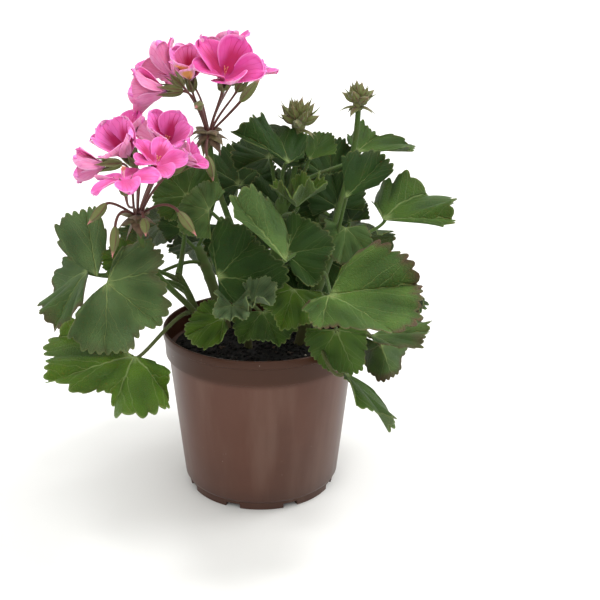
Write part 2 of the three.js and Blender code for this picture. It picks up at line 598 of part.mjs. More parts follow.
function makeBudHead(name) {
  const head = HEADS[name];
  const foot = vec(...head.foot);
  const core = head.radius * BUD_HEAD.core;
  const lump = [[-BUD_HEAD.sunk, 0], [core * 0.6, core], [core * 1.5, core * 0.8], [core * 2, 0]];
  const middle = foot.clone().add(vec(0, 0, core * 0.9));
  const buds = Array.from({ length: head.points }, (_, k) => {
    const out = bearing(GOLDEN_TURN * k, BUD_HEAD.top - (BUD_HEAD.span * (k + 0.5)) / head.points);
    return spindle(middle, out, head.radius * BUD_HEAD.reach, BUD.packedRadius, BUD.packedWidest);
  });
  const stalk = makePeduncle(head.stem, head.place, foot);
  const bracts = makeBracts(foot.clone().addScaledVector(UP, BRACT.from), BUD_HEAD.bracts, WHORLS.head);
  return fuse([stalk, turned(lump, foot, UP, BUD_HEAD.sides), ...buds, ...bracts]);
}

function makeLeafyStem(name) {
  const stem = STEMS[name];
  const pieces = [tube(stemCurve(stem), stem.radius, STEM.sides, STEM.steps)];
  for (const leaf of LEAVES.map(leafFrom).filter((l) => l.stem === name)) {
    pieces.push(makeBlade(leaf), makeStalk(leaf, stem));
  }
  for (const umbel of Object.values(UMBELS).filter((u) => u.stem === name)) {
    pieces.push(makePeduncle(name, umbel.place, vec(...umbel.node).add(vec(0, 0, KNOB.low - GAP))));
  }
  for (const head of Object.keys(HEADS)) if (HEADS[head].stem === name) pieces.push(makeBudHead(head));
  return fuse(pieces);
}

// ---- assembly ----

const COLOURS = {
  pot: new THREE.MeshStandardMaterial({ color: 0x6b4a3f, roughness: 0.45, metalness: 0 }),
  soil: new THREE.MeshStandardMaterial({ color: 0x1c1512, roughness: 0.95, metalness: 0 }),
  leaf: new THREE.MeshStandardMaterial({ color: 0x3f6b2a, roughness: 0.55, metalness: 0 }),
  spray: new THREE.MeshStandardMaterial({ color: 0x6a3b30, roughness: 0.6, metalness: 0 }),
  petal: new THREE.MeshStandardMaterial({ color: 0xe85aa8, roughness: 0.5, metalness: 0 }),
};

const plant = new THREE.Group();

function place(name, body, material) {
  const mesh = body.getMesh();
  const geometry = new THREE.BufferGeometry();
  geometry.setAttribute("position", new THREE.BufferAttribute(new Float32Array(mesh.vertProperties), 3));
  geometry.setIndex(new THREE.BufferAttribute(new Uint32Array(mesh.triVerts), 1));
  geometry.computeVertexNormals();
  const piece = new THREE.Mesh(geometry, material);
  piece.name = name;
  plant.add(piece);
}

place("pot", makePot(), COLOURS.pot);
place("potting_soil", makeSoil(), COLOURS.soil);
for (const name of Object.keys(STEMS)) place(`leafy_stem_${name}`, makeLeafyStem(name), COLOURS.leaf);
for (const name of Object.keys(UMBELS)) place(`spray_${name}`, makeSpray(name), COLOURS.spray);
FLORETS.map(floretFrom).forEach((f, k) => place(`petals_${f.umbel}_${k + 1}`, makeFloret(f), COLOURS.petal));

export default plant;
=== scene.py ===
# %% [markdown]
# # A pink geranium in its nursery pot
# The plant was first drawn as plain solids and packed. Here each solid gets its finished look: fine blades
# with veins, soft petals, a smooth pot and crumbly soil. Everything is in metres and stands exactly where the
# imported solids stand, so the first step is to load them and to note the box that they fill. Everything made
# below is meant to stay inside that box.

import random
from functools import partialmethod
from math import cos, exp, hypot, pi, radians, sin, sqrt, tan
from types import SimpleNamespace

import bmesh
import bpy
from mathutils import Matrix, Vector, noise


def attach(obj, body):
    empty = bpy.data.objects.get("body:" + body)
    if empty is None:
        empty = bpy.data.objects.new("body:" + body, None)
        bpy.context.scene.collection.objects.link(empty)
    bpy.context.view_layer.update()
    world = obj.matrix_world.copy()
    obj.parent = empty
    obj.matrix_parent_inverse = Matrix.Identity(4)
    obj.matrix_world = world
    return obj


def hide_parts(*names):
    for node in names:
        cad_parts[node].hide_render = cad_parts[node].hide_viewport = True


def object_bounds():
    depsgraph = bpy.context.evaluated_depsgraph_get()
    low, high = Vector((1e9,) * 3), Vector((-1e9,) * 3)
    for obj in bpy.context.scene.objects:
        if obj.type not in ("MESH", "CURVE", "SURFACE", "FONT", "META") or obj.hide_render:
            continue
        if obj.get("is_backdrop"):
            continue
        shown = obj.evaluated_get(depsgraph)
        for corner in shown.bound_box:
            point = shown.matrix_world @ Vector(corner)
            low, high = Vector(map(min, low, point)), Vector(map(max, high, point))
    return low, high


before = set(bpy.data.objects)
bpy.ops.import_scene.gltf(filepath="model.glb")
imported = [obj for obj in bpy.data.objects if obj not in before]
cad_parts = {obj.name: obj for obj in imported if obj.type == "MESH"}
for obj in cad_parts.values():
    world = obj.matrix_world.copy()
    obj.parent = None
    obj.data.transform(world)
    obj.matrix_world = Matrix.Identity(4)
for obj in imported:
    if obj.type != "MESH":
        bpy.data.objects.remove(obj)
cad_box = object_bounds()
MM = 0.001
print("solids:", len(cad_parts), "box:", [[round(x / MM, 1) for x in corner] for corner in cad_box])

# %% [markdown]
# ## Where the photograph was taken from
# A camera can be aimed by eye, but here it was worked out from the pot, whose rim and foot are circles of
# known size. It stands 65 cm in front of the pot, 36 cm up, and looks down by almost 20 degrees. A lens of
# 62 mm on a 36 mm sensor gives the same perspective as the photograph. The plain view transform keeps white
# white and the petals as strong as they are in daylight.

# %% The camera
CAMERA_PLACE = (0, -649.28, 362.10)
PITCH, YAW, ROLL = 19.746, 2.2836, 0.5566  # degrees
LENS, SENSOR = 62.471, 36.0

camera = bpy.data.objects.new("camera", bpy.data.cameras.new("camera"))
camera.data.lens, camera.data.sensor_width = LENS, SENSOR
aim = Matrix.Rotation(radians(-YAW), 4, "Z") @ Matrix.Rotation(radians(90 - PITCH), 4, "X")
aim = aim @ Matrix.Rotation(radians(ROLL), 4, "Z")
camera.matrix_world = Matrix.Translation(Vector(CAMERA_PLACE) * MM) @ aim
bpy.context.scene.collection.objects.link(camera)
bpy.context.scene.camera = camera
bpy.context.scene.view_settings.view_transform = "Standard"
print("camera at", [round(x, 3) for x in camera.location], "lens", LENS)

# %% [markdown]
# ## The plan of the plant
# A leaf can be modelled by hand, one at a time, or by one rule and a table. With 46 leaves the table wins:
# each row says where on its stem a leaf's stalk starts, where the stalk meets the blade, which way the blade
# faces, how it is turned, how long its middle rib is, and which of a few forms it has. The same numbers
# placed the solids, so every fine leaf lands on its plain one. Lengths are in millimetres, angles in degrees.

# %% Forms of leaves
# form: (cup, curl, wave, (lift of the left half, of the right half), {angle off the midrib: how far out})
FORMS = {
    "round": (4, -10, 16, (6, 6), {-150: 0.6, -75: 0.9, 0: 1, 75: 0.9, 150: 0.6}),
    "fan": (4, -8, 14, (4, 4), {-105: 0.7, -50: 0.93, 0: 1, 50: 0.93, 105: 0.7}),
    "wedge": (4, -8, 12, (8, 8), {-48: 0.7, -24: 0.93, 0: 1, 25: 0.93, 50: 0.7}),
    "tucked": (4, -8, 12, (4, 4), {-130: 0.3, -77: 0.7, -43: 1.15, -10: 0.88, 37: 0.99, 62: 0.5}),
    "upright": (4, -8, 12, (8, 8), {-32: 0.4, -22: 0.75, -8: 1.02, 10: 1.04, 28: 1.15, 38: 0.85, 48: 0.5}),
    "slanted": (4, -8, 14, (4, 4), {-100: 0.5, -80: 0.82, -45: 1.15, -18: 1.0, 6: 1.06, 30: 0.96, 52: 0.78,
        70: 0.35}),
    "broad": (4, -8, 14, (4, 4), {-100: 0.25, -92: 0.65, -82: 1.0, -45: 1.03, -30: 1.08, -14: 0.84, 2: 0.96,
        16: 0.99, 32: 0.86, 49: 0.73, 62: 0.87, 80: 0.94, 104: 0.62, 112: 0.35}),
    "two_lobed": (4, -12, 16, (0, 4), {-62: 0.95, -42: 1.05, -16: 0.92, 3: 1.0, 14: 0.84, 32: 0.63,
        42: 0.57, 50: 0.68, 61: 1.03, 74: 1.09, 90: 0.84, 112: 0.55, 134: 0.27}),
    "crown": (4, -10, 18, (12, 4), {-116: 0.35, -98: 0.56, -66: 0.74, -50: 1.05, -31: 0.95, -12: 0.9,
        2: 1.0, 9: 0.66, 15: 0.4}),
    "quarter": (4, -8, 12, (6, 0), {-82: 0.42, -65: 0.84, -40: 0.87, -22: 0.88, 0: 1.0, 22: 1.0, 38: 0.84,
        66: 0.86, 84: 0.75}),
    "peaked": (4, -10, 22, (12, 0), {-14: 0.85, 5: 1.05, 27: 1.15, 36: 0.9, 47: 0.6, 62: 0.64, 86: 0.86,
        102: 0.68, 125: 0.35}),
    "edged": (4, -8, 18, (6, 0), {-24: 0.65, -14: 0.97, 5: 1.02, 18: 0.98, 32: 0.92, 50: 0.75}),
    "sweeping": (4, -10, 20, (12, 0), {-17: 0.85, -8: 1.0, 6: 1.0, 24: 1.12, 42: 1.34, 50: 1.1, 62: 0.88,
        85: 0.78, 98: 0.7, 110: 0.5}),
    "lifted": (2, -4, 12, (28, 36), {-170: 0.2, -135: 0.45, -104: 0.67, -91: 0.8, -72: 1.28, -48: 1.08,
        -28: 1.1, -12: 0.98, 4: 0.98, 22: 0.91, 39: 0.81, 48: 0.62, 56: 0.35}),
    "fallen": (4, -8, 12, (8, 8), {-85: 0.4, -66: 0.66, -48: 0.76, -28: 1.04, -14: 0.95, 4: 1.03, 22: 1.14,
        38: 1.05}),
    "roofed": (0, -10, 12, (-30, -30), {-110: 0.8, -82: 0.87, -40: 1.12, -18: 0.98, 6: 1.08, 22: 0.96,
        52: 0.74, 95: 0.5}),
    "strap": (4, -14, 12, (10, 10), {-80: 0.4, -60: 0.72, -35: 0.92, -10: 1.07, 12: 1.16, 25: 1.17,
        31: 0.7}),
    "low": (4, -8, 20, (4, 4), {-100: 0.6, -46: 0.75, -20: 0.97, 10: 1.15, 27: 1.05, 50: 0.69, 80: 0.4}),
    "funnel": (46, 4, 20, (0, 0), {-150: 0.8, 0: 1, 150: 0.8}),
    "drooped": (-4, -26, 14, (0, 0), {-110: 0.8, -55: 0.95, -20: 0.8, 30: 1.05, 110: 0.8}),
    "closed": (0, -6, 14, (-58, -58), {-110: 0.8, -30: 1.05, 0: 0.9, 40: 1.05, 110: 0.8}),
    "young": (22, 10, 26, (26, 26), {-120: 0.7, 0: 1, 120: 0.7}),
    "ruffled": (4, -4, 26, (0, 4), {-54: 0.35, -42: 0.75, -28: 0.9, -17: 0.86, -8: 1.0, 3: 1.04, 10: 0.8}),
}

# %% Stems and tints
# stem: foot in the soil, tip, radius
STEMS = {
    "left": ((-26, -4, 74), (-54, -8, 150), 2.5),
    "front": ((-8, -8, 74), (-10, -24, 172), 2.8),
    "right": ((20, -4, 74), (46, -8, 168), 4),
    "top": ((4, 10, 74), (14, 8, 196), 4.4),
    "back_left": ((-18, 22, 74), (-44, 52, 150), 4),
    "back_right": ((22, 22, 74), (46, 54, 152), 4),
}

# tint: how fresh and yellow-green a leaf is, how greyed (a bloom with painted sheen), how purple its edge, and
# how dark with painted shade where it sits deep in the plant
TINTS = {
    "deep": (0.1, 0.05, 0.1, 0.8),
    "grey": (0.1, 1.0, 0.35, 0.0),
    "dusky": (0.2, 0.6, 0.7, 0.2),
    "fresh": (0.9, 0.0, 0.1, 0.0),
    "mid": (0.45, 0.15, 0.1, 0.25),
    "edged": (0.4, 0.4, 0.9, 0.0),
    "pale": (0.5, 0.55, 0.6, 0.0),
    "silver": (0.2, 1.5, 0.1, 0.0),
    "soft": (0.3, 0.65, 0.1, 0.1),
}
print(len(FORMS), "forms,", len(STEMS), "stems,", len(TINTS), "tints")

# %% Leaves of each stem
# leaf: place on the stem, stalk meets blade, way it faces, turn, length, form, phase of its waves, tint
LEAVES = {
    "left": [
        (0.9, (-103, -22, 153), (-108, 27), -161, 46, "upright", 20, "grey"),
        (0.75, (-113, 2, 149), (-152, 41), 2, 44, "slanted", 80, "dusky"),
        (0.8, (-91, -64, 163), (-82, 32), 48, 44, "broad", 150, "grey"),
        (0.55, (-75, -80, 123), (-83, 70), -70, 57, "two_lobed", 10, "fresh"),
        (1.0, (-47, 5, 198), (-101, 35), -135, 26, "round", 40, "mid"),
        (0.95, (-50, 14, 173), (-110, 27), -158, 22, "fan", 90, "deep"),
        (0.85, (-81, -36, 168), (-100, 34), -88, 18, "fan", 30, "fresh"),
    ],
    "front": [
        (0.75, (-26, -54, 163), (-88, 23), 135, 40, "tucked", 60, "deep"),
        (0.5, (-23, -50, 135), (-88, 56), -60, 26, "low", 0, "fresh"),
        (0.7, (-17, -68, 150), (-88, 50), -4, 22, "young", 0, "silver"),
        (0.65, (-5, -66, 151), (-89, 60), 103, 20, "young", 40, "silver"),
        (0.55, (1, -30, 132), (-90, 62), 20, 30, "fan", 70, "mid"),
        (0.65, (20, -44, 152), (-72, 40), -28, 28, "fan", 120, "fresh"),
        (1.0, (-30, -56, 205), (-87, 25), -108, 22, "drooped", 50, "soft"),
    ],
    "right": [
        (0.95, (15, -74, 179), (-60, 40), -154, 52, "ruffled", 30, "soft"),
        (1.0, (15, -50, 176), (-93, 35), 103, 32, "quarter", 100, "deep"),
        (0.75, (40, -76, 159), (-100, 49), 102, 58, "lifted", 0, "edged"),
        (0.6, (45, -70, 135), (-94, 13), 24, 30, "roofed", 40, "mid"),
        (0.4, (48, -92, 117), (-5, 50), -15, 41, "strap", 90, "mid"),
        (0.6, (69, -45, 121), (-131, 82), 127, 38, "fallen", 10, "pale"),
        (0.5, (79, -14, 103), (-88, 4), 20, 32, "closed", 70, "dusky"),
        (0.8, (59, 12, 179), (-124, 48), -142, 20, "fan", 30, "deep"),
        (0.7, (54, -12, 182), (-64, 14), -14, 25, "fan", 60, "dusky"),
        (0.85, (50, 8, 190), (-86, 36), -176, 26, "fan", 80, "deep"),
        (0.9, (80, 6, 182), (-106, 73), 100, 49, "sweeping", 0, "mid"),
        (1.0, (52, -30, 206), (-95, 34), 137, 38, "edged", 20, "deep"),
    ],
    "top": [
        (1.0, (65, 35, 221), (-105, 73), 100, 38, "peaked", 40, "mid"),
        (0.95, (17, -24, 226), (-50, 49), -148, 42, "crown", 60, "deep"),
        (1.0, (6, 10, 222), (-91, 57), -173, 30, "round", 0, "deep"),
        (0.9, (31, 0, 223), (-93, 52), 156, 26, "wedge", 30, "mid"),
        (0.85, (22, -34, 201), (-92, 85), 43, 28, "funnel", 80, "fresh"),
        (0.9, (-14, 30, 200), (-89, 38), -175, 32, "round", 20, "deep"),
        (0.95, (47, 40, 201), (-94, 38), 180, 32, "round", 50, "deep"),
        (0.6, (-16, 26, 172), (-90, 40), 10, 32, "fan", 100, "deep"),
        (0.7, (38, 28, 174), (-90, 40), -10, 32, "fan", 10, "deep"),
        (0.85, (14, 16, 186), (-90, 36), 175, 32, "round", 70, "deep"),
        (0.45, (8, 22, 152), (-90, 34), 0, 34, "round", 10, "deep"),
        (0.55, (44, 20, 150), (-84, 30), 5, 30, "round", 40, "deep"),
    ],
    "back_left": [
        (0.9, (-66, 58, 168), (135, 40), 0, 40, "round", 0, "mid"),
        (0.8, (-86, 38, 134), (165, 40), -10, 38, "round", 60, "dusky"),
        (0.7, (-34, 84, 144), (105, 50), -10, 42, "round", 120, "deep"),
        (1.0, (-30, 66, 188), (100, 66), 20, 34, "round", 30, "mid"),
    ],
    "back_right": [
        (0.9, (62, 62, 160), (50, 50), 0, 40, "round", 20, "mid"),
        (0.7, (90, 40, 134), (15, 40), 10, 40, "round", 90, "deep"),
        (0.8, (34, 90, 138), (75, 40), -14, 38, "round", 40, "grey"),
        (1.0, (34, 70, 188), (80, 65), -20, 34, "round", 70, "fresh"),
    ],
}
print(sum(len(rows) for rows in LEAVES.values()), "leaves")

# %% [markdown]
# A zonal geranium carries its flowers in umbels: many thin stalks spread from one point, and each ends in a
# green cup with five petals. Younger flowers still hang as closed buds. Two more heads have not opened at
# all, and stand on their stout stalks as tight clusters of pointed buds.

# %% Umbels, florets, buds and closed heads
# umbel: stem, place on it, the point the flowers spread from, bracts that stand out, bracts that hang
UMBELS = {
    "lower": ("left", 0.4, (-72, -55, 202), 7, 4),
    "upper": ("front", 0.8, (-31, -20, 245), 9, 6),
}
# floret: umbel, throat, way it faces, spin, petal length, angle the petals rise at, how much they curl
FLORETS = [
    ("upper", (-54, -33, 271), (180, 0), 20, 24, 60, 0),
    ("upper", (-53, -2, 275), (155, 40), 0, 24, 56, -14),
    ("upper", (-41, -24, 276), (-96, 56), 30, 22, 64, 0),
    ("upper", (-21, -38, 278), (-78, 50), 0, 27, 46, -12),
    ("upper", (-21, 10, 283), (100, 80), 40, 22, 56, -20),
    ("upper", (-10, -4, 274), (0, 60), 0, 21, 52, -20),
    ("upper", (-46, 27, 271), (125, 36), 10, 21, 45, -30),
    ("upper", (-16, 30, 272), (66, 36), 50, 21, 45, -30),
    ("lower", (-73, -76, 241), (-125, 48), 20, 24, 58, 0),
    ("lower", (-76, -44, 240), (-175, 72), 0, 22, 54, -16),
    ("lower", (-54, -52, 242), (-74, 52), 0, 22, 54, -8),
    ("lower", (-57, -86, 238), (-64, 58), 0, 18, 34, -20),
    ("lower", (-72, -106, 235), (-105, 84), 30, 20, 0, -14),
    ("lower", (-44, -68, 235), (-4, 36), 36, 15, 50, -14),
    ("lower", (-88, -60, 233), (-174, -4), 0, 19, 62, 0),
    ("lower", (-60, -22, 235), (81, 40), 30, 21, 45, -30),
]
# bud: umbel, bend of its stalk, tip, length
BUDS = [
    ("upper", (-33, -36, 238), (-28, -38, 217), 17),
    ("upper", (-18, -22, 256), (1, -24, 278), 20),
    ("upper", (-36, -30, 262), (-38, -38, 262), 12),
    ("lower", (-86, -64, 214), (-100, -66, 199), 17),
    ("lower", (-82, -66, 212), (-86, -70, 180), 19),
    ("lower", (-68, -66, 210), (-66, -70, 193), 11),
    ("lower", (-54, -64, 216), (-37, -66, 192), 18),
]
# head: stem, place on it, foot of the head, radius, buds
HEADS = {
    "middle": ("top", 0.7, (24, 4, 240), 11, 16),
    "right": ("right", 0.9, (63, 20, 252), 9, 12),
}
print(len(FLORETS), "florets,", len(BUDS), "hanging buds,", len(HEADS), "closed heads")

# %% [markdown]
# ## Helpers that all pieces share
# Every soft surface below is made the same way. It starts as a flat grid, and each corner of the grid is
# carried to its place by a rule. A grid whose first row shrinks to a point is a leaf; one whose sides meet is
# a stalk. Corners that land on each other are merged, which closes seams and poles. Two notes travel with
# each corner, for the materials: `flat`, its place on the piece laid flat, and `tone`, what sets this leaf or
# petal apart from its neighbours.


# %% Directions, arcs and curves
UP = Vector((0, 0, 1))
STRAIGHT = 1e-3  # radians; an arc that bends less is a line


def bearing(azimuth, elevation):
    a, e = radians(azimuth), radians(elevation)
    return Vector((cos(e) * cos(a), cos(e) * sin(a), sin(e)))


def arc(start, bend, share):
    """How far out and up an arc has come that starts at an angle and bends evenly."""
    if abs(bend) < STRAIGHT:
        return share * cos(start), share * sin(start)
    end = start + bend * share
    return (sin(end) - sin(start)) / bend, (cos(start) - cos(end)) / bend


def turned_round(vector, axis, degrees):
    return Matrix.Rotation(radians(degrees), 3, axis) @ vector


def facing(direction, turn):
    """The axis of something that faces a way, its downhill direction turned about it, and the third side."""
    normal = bearing(*direction)
    rib = turned_round((normal * normal.z - UP).normalized(), normal, turn)
    return normal, rib, normal.cross(rib)


def bezier(handles, share):
    points = [Vector(h) for h in handles]
    while len(points) > 1:
        points = [a.lerp(b, share) for a, b in zip(points, points[1:])]
    return points[0]


def along_curve(handles, steps):
    return [bezier(handles, k / steps) for k in range(steps + 1)]


def smooth(low, high, value):
    t = min(max((value - low) / (high - low), 0), 1)
    return t * t * (3 - 2 * t)


def wave(degrees):
    return sin(radians(degrees))


print("an arc that bends by 90 degrees ends at", [round(x, 3) for x in arc(0, pi / 2, 1)])

# %% Grids and tubes
WELD = 2e-6  # metres
PLAIN = (0, 0, 0, 0)
RIDGE = 0.14  # share of a ridged tube's radius


def bend_grid(bm, across, along, place, tone=PLAIN):
    """Lay a flat grid and carry each corner to place(u, v), in millimetres."""
    vectors, colours = bm.verts.layers.float_vector, bm.verts.layers.float_color
    flat_layer = vectors.get("flat") or vectors.new("flat")
    tone_layer = colours.get("tone") or colours.new("tone")
    corners = bmesh.ops.create_grid(bm, x_segments=across, y_segments=along, size=0.5)["verts"]
    for corner in corners:
        point, corner[flat_layer] = place(corner.co.x + 0.5, corner.co.y + 0.5)
        corner.co = point * MM
        corner[tone_layer] = tone
    bmesh.ops.remove_doubles(bm, verts=corners, dist=WELD)


def frames_along(points):
    """For each point of a path, two directions across it that do not spin as the path turns."""
    ahead = [(b - a).normalized() for a, b in zip(points, points[1:])]
    tangents = [ahead[0]] + [(a + b).normalized() for a, b in zip(ahead, ahead[1:])] + [ahead[-1]]
    side = tangents[0].orthogonal().normalized()
    for tangent in tangents:
        side = (side - tangent * side.dot(tangent)).normalized()
        yield side, tangent.cross(side)


def out_from(sides, angle):
    """Straight out of a path, at an angle round it."""
    return sides[0] * cos(angle) + sides[1] * sin(angle)


def add_tube(bm, points, radius, sides=10, tone=PLAIN, ridges=0):
    """A closed round stalk along a path; radius(share) is its thickness, and it may be ridged."""
    turns = list(frames_along(points))
    last = len(points) - 1

    def place(u, v):
        row = round(v * (last + 2)) - 1
        k = min(max(row, 0), last)
        angle = 2 * pi * u
        ridge = cos(ridges * angle) if ridges else 0
        reach = radius(k / last) * (1 + RIDGE * ridge) if 0 <= row <= last else 0
        return points[k] + out_from(turns[k], angle) * reach, (ridge, k / last, 0)

    bend_grid(bm, sides, last + 2, place, tone)
    return points, radius


print("grids weld at", WELD / MM, "mm")

# %% [markdown]
# A piece is finished in one place too: its mesh is written, given its materials, made thick if it is a thin
# sheet and tied to the root body, and the imported solids that it replaces are hidden. Solidify gives the
# underside its own material, because the back of a leaf or petal is paler than its face.


# %% Finished pieces
def link(made):
    bpy.context.scene.collection.objects.link(made)
    return made


def new_object(name, bm, materials=()):
    mesh = bpy.data.meshes.new(name)
    bm.to_mesh(mesh)
    bm.free()
    for material in materials:
        mesh.materials.append(material)
    return link(bpy.data.objects.new(name, mesh))


def apply_modifiers(piece):
    evaluated = piece.evaluated_get(bpy.context.evaluated_depsgraph_get())
    mesh = bpy.data.meshes.new_from_object(evaluated)
    piece.modifiers.clear()
    piece.data = mesh


def finish_piece(name, bm, materials, node="", thickness=0, sharp=50):
    """Write a piece, thick about its middle if it is a sheet; edges are sharp past an angle in degrees."""
    if not thickness:
        bmesh.ops.recalc_face_normals(bm, faces=bm.faces)
    piece = new_object(name, bm, materials)
    if thickness:
        wall = piece.modifiers.new("thickness", "SOLIDIFY")
        wall.thickness, wall.offset, wall.material_offset = thickness * MM, 0, 1
        apply_modifiers(piece)
    piece.data.shade_smooth()
    piece.data.set_sharp_from_angle(angle=radians(sharp))
    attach(piece, "root")
    if node:
        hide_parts(node)
    print(f"{name}: {sum(len(face.vertices) - 2 for face in piece.data.polygons)} triangles")
    return piece


# %% [markdown]
# ## Building materials from nodes
# A material in Blender is a small network. Writing every node out takes many lines, so here an output of a
# node is a `Wire`, and wires can be added and multiplied like numbers: `fold * 0.35` adds a node that
# multiplies. A recipe is a function that lays such nodes and says which socket of the shader each result
# feeds. Numbers that are the same all over are set on the shader itself.


# %% Wires and nodes
class Wire:
    """A node's output, which can be added and multiplied like a number."""

    def __init__(self, socket):
        self.socket, self.tree = socket, socket.id_data

    def maths(self, operation, *values):
        return add_node(self.tree, "Math", dict(enumerate((self, *values))), operation=operation)

    __mul__ = partialmethod(maths, "MULTIPLY")
    __add__ = partialmethod(maths, "ADD")
    __sub__ = partialmethod(maths, "SUBTRACT")
    __abs__ = partialmethod(maths, "ABSOLUTE")


def add_node(tree, kind, inputs=None, output=0, **settings):
    """Add a node, set or wire its inputs, and hand back one of its outputs."""
    made = tree.nodes.new("ShaderNode" + kind)
    for name, value in settings.items():
        setattr(made, name, value)
    for key, value in (inputs or {}).items():
        if isinstance(value, Wire):
            tree.links.new(value.socket, made.inputs[key])
        else:
            made.inputs[key].default_value = value
    return Wire(made.outputs[output])


def outputs(wire):
    return [Wire(socket) for socket in wire.socket.node.outputs]


def parts(value, kind="SeparateXYZ"):
    """The three numbers in a vector, or with SeparateColor in a colour."""
    return outputs(add_node(value.tree, kind, {0: value}))


def ramp(value, low, high):
    """0 below low and 1 above high, or the other way round where low is the larger."""
    inputs = {"Value": value, "From Min": low, "From Max": high}
    return add_node(value.tree, "MapRange", inputs, interpolation_type="SMOOTHSTEP")


def mixed(where, first, second):
    """Two colours, each a wire or (red, green, blue); `where` is 0 for the first and 1 for the second."""
    first, second = (c if isinstance(c, Wire) else (*c, 1) for c in (first, second))
    return add_node(where.tree, "Mix", {0: where, 6: first, 7: second}, 2, data_type="RGBA")


def painted(base, *coats):
    """A base with coats of colour over it, each (where, colour)."""
    for where, coat in coats:
        base = mixed(where, base, coat)
    return base


def here(tree):
    return add_node(tree, "TexCoord", output="Object")


def speckle(tree, scale, detail=3.0, vector=None):
    inputs = {"Vector": vector or here(tree), "Scale": scale, "Detail": detail}
    return add_node(tree, "TexNoise", inputs)


def note(tree, name, output):
    return add_node(tree, "Attribute", None, output, attribute_name=name, attribute_type="GEOMETRY")


def tones(tree):
    return parts(note(tree, "tone", "Color"), "SeparateColor")


def raised(height, strength, distance):
    return add_node(height.tree, "Bump", {"Height": height, "Strength": strength, "Distance": distance * MM})


print("node helpers ready")


# %% Materials and groups
def new_material(name, recipe, *colours, **constants):
    """A material whose recipe feeds the shader; its constants are set on the shader's own sockets."""
    material = bpy.data.materials.new(name)
    material.use_nodes = True
    tree = material.node_tree
    shader = tree.nodes["Principled BSDF"]
    for key, value in constants.items():
        shader.inputs[key.replace("_", " ").title().replace("Ior", "IOR")].default_value = value
    for key, wire in recipe(tree, *colours).items():
        tree.links.new(wire.socket, shader.inputs[key])
    print("material:", name)
    return material


def new_group(name, recipe):
    """A group that reads a piece laid flat, and puts out the masks that its recipe names."""
    group = bpy.data.node_groups.new(name, "ShaderNodeTree")
    group.interface.new_socket("Flat", in_out="INPUT", socket_type="NodeSocketVector")
    masks = recipe(Wire(group.nodes.new("NodeGroupInput").outputs[0]))
    for label in masks:
        group.interface.new_socket(label, in_out="OUTPUT", socket_type="NodeSocketFloat")
    end = group.nodes.new("NodeGroupOutput")
    for label, wire in masks.items():
        group.links.new(wire.socket, end.inputs[label])
    print("group:", name, list(masks))
    return group


def use_group(tree, group):
    return outputs(add_node(tree, "Group", {"Flat": note(tree, "flat", "Vector")}, node_tree=group))


# %% [markdown]
# ## Leaf veins
# Seven main veins fan out from where the stalk meets the blade, and each forks on its way to the edge. They
# could be painted, but a rule stays sharp at any size. The leaf laid flat is cut into seven equal sectors,
# and in each the distance to the middle line gives the main vein. Each pair of forks is a straight line that
# leaves it at an angle. A fine net of tiny cells makes the surface look quilted, and half way between two
# main veins lies the fold of a pleat, which the leaf material darkens with painted shade. The face and the
# underside both use them, so they are a group.

# %% The vein group
LOBES = 7
SECTOR = 2 * pi / LOBES
FORKS = [(0.30, 26), (0.50, 31), (0.70, 36)]  # share of the way out, angle off the main vein
WANDER, WANDER_SCALE, NET_SCALE = 0.09, 3.5, 26.0
VEIN_WIDTH, VEIN_TAPER, FORK_WIDTH, FORK_STRENGTH = 0.020, 0.012, 0.008, 0.5  # shares of the blade


def vein_recipe(flat):
    wander = add_node(flat.tree, "TexNoise", {"Vector": flat, "Scale": WANDER_SCALE}, "Color")
    wander = add_node(flat.tree, "VectorMath", {0: wander, 1: (0.5, 0.5, 0.5)}, operation="SUBTRACT")
    inputs = {0: wander, 1: (WANDER, WANDER, 0.0), 2: flat}
    x, y, share = parts(add_node(flat.tree, "VectorMath", inputs, operation="MULTIPLY_ADD"))
    distance = (x * x + y * y).maths("SQRT")
    off_middle = ((x.maths("ARCTAN2", y) * (1 / SECTOR) + 0.5).maths("FRACT") - 0.5) * SECTOR
    across = abs(distance * off_middle.maths("SINE"))
    ahead = distance * off_middle.maths("COSINE")
    vein = ramp(across.maths("DIVIDE", distance * -VEIN_TAPER + VEIN_WIDTH), 1.0, 0.2)
    for begins, angle in FORKS:
        slant = radians(angle)
        beyond = ahead - begins
        off_line = abs(across * cos(slant) - beyond * sin(slant))
        fork = ramp(off_line, FORK_WIDTH, FORK_WIDTH / 8) * ramp(beyond, 0.0, 0.02)
        vein = vein.maths("MAXIMUM", fork * FORK_STRENGTH)
    inputs = {"Vector": flat, "Scale": NET_SCALE}
    net = add_node(flat.tree, "TexVoronoi", inputs, "Distance", feature="DISTANCE_TO_EDGE")
    # The fold mask is where painted shade lies, in the crease of each pleat.
    fold = ramp(abs(off_middle) * (2 / SECTOR), 0.25, 0.95) * ramp(share, 0.1, 0.6)
    return {"Vein": vein, "Cells": ramp(net, 0.0, 0.16), "Share": share, "Fold": fold}


veins = new_group("palmate veins", vein_recipe)

# %% [markdown]
# ## The two sides of a leaf
# The face is mid to dark green with a faint grey bloom, and its veins are lighter and slightly sunk. No two
# leaves are alike: the young ones are yellow-green, the old ones greyed by their bloom and by painted sheen,
# those deep in the plant darkened with painted shade, and on some the edge has turned a purplish brown. The
# `tone` note carries these four amounts. The underside is paler, and its veins stand up.

# %% Leaf materials
# The greyed green is partly a grey bloom and partly painted sheen.
FRESH, GREY_BLOOM_AND_SHEEN = (0.058, 0.114, 0.0055), (0.108, 0.160, 0.072)
# The shaded green is painted shade; the same green also paints the darker zone of a zonal leaf.
PURPLED, SHADE_AND_ZONE_GREEN = (0.080, 0.045, 0.030), (0.008, 0.028, 0.004)
LIT_THROUGH = {"subsurface_weight": 0.08, "subsurface_scale": 0.002}  # metres


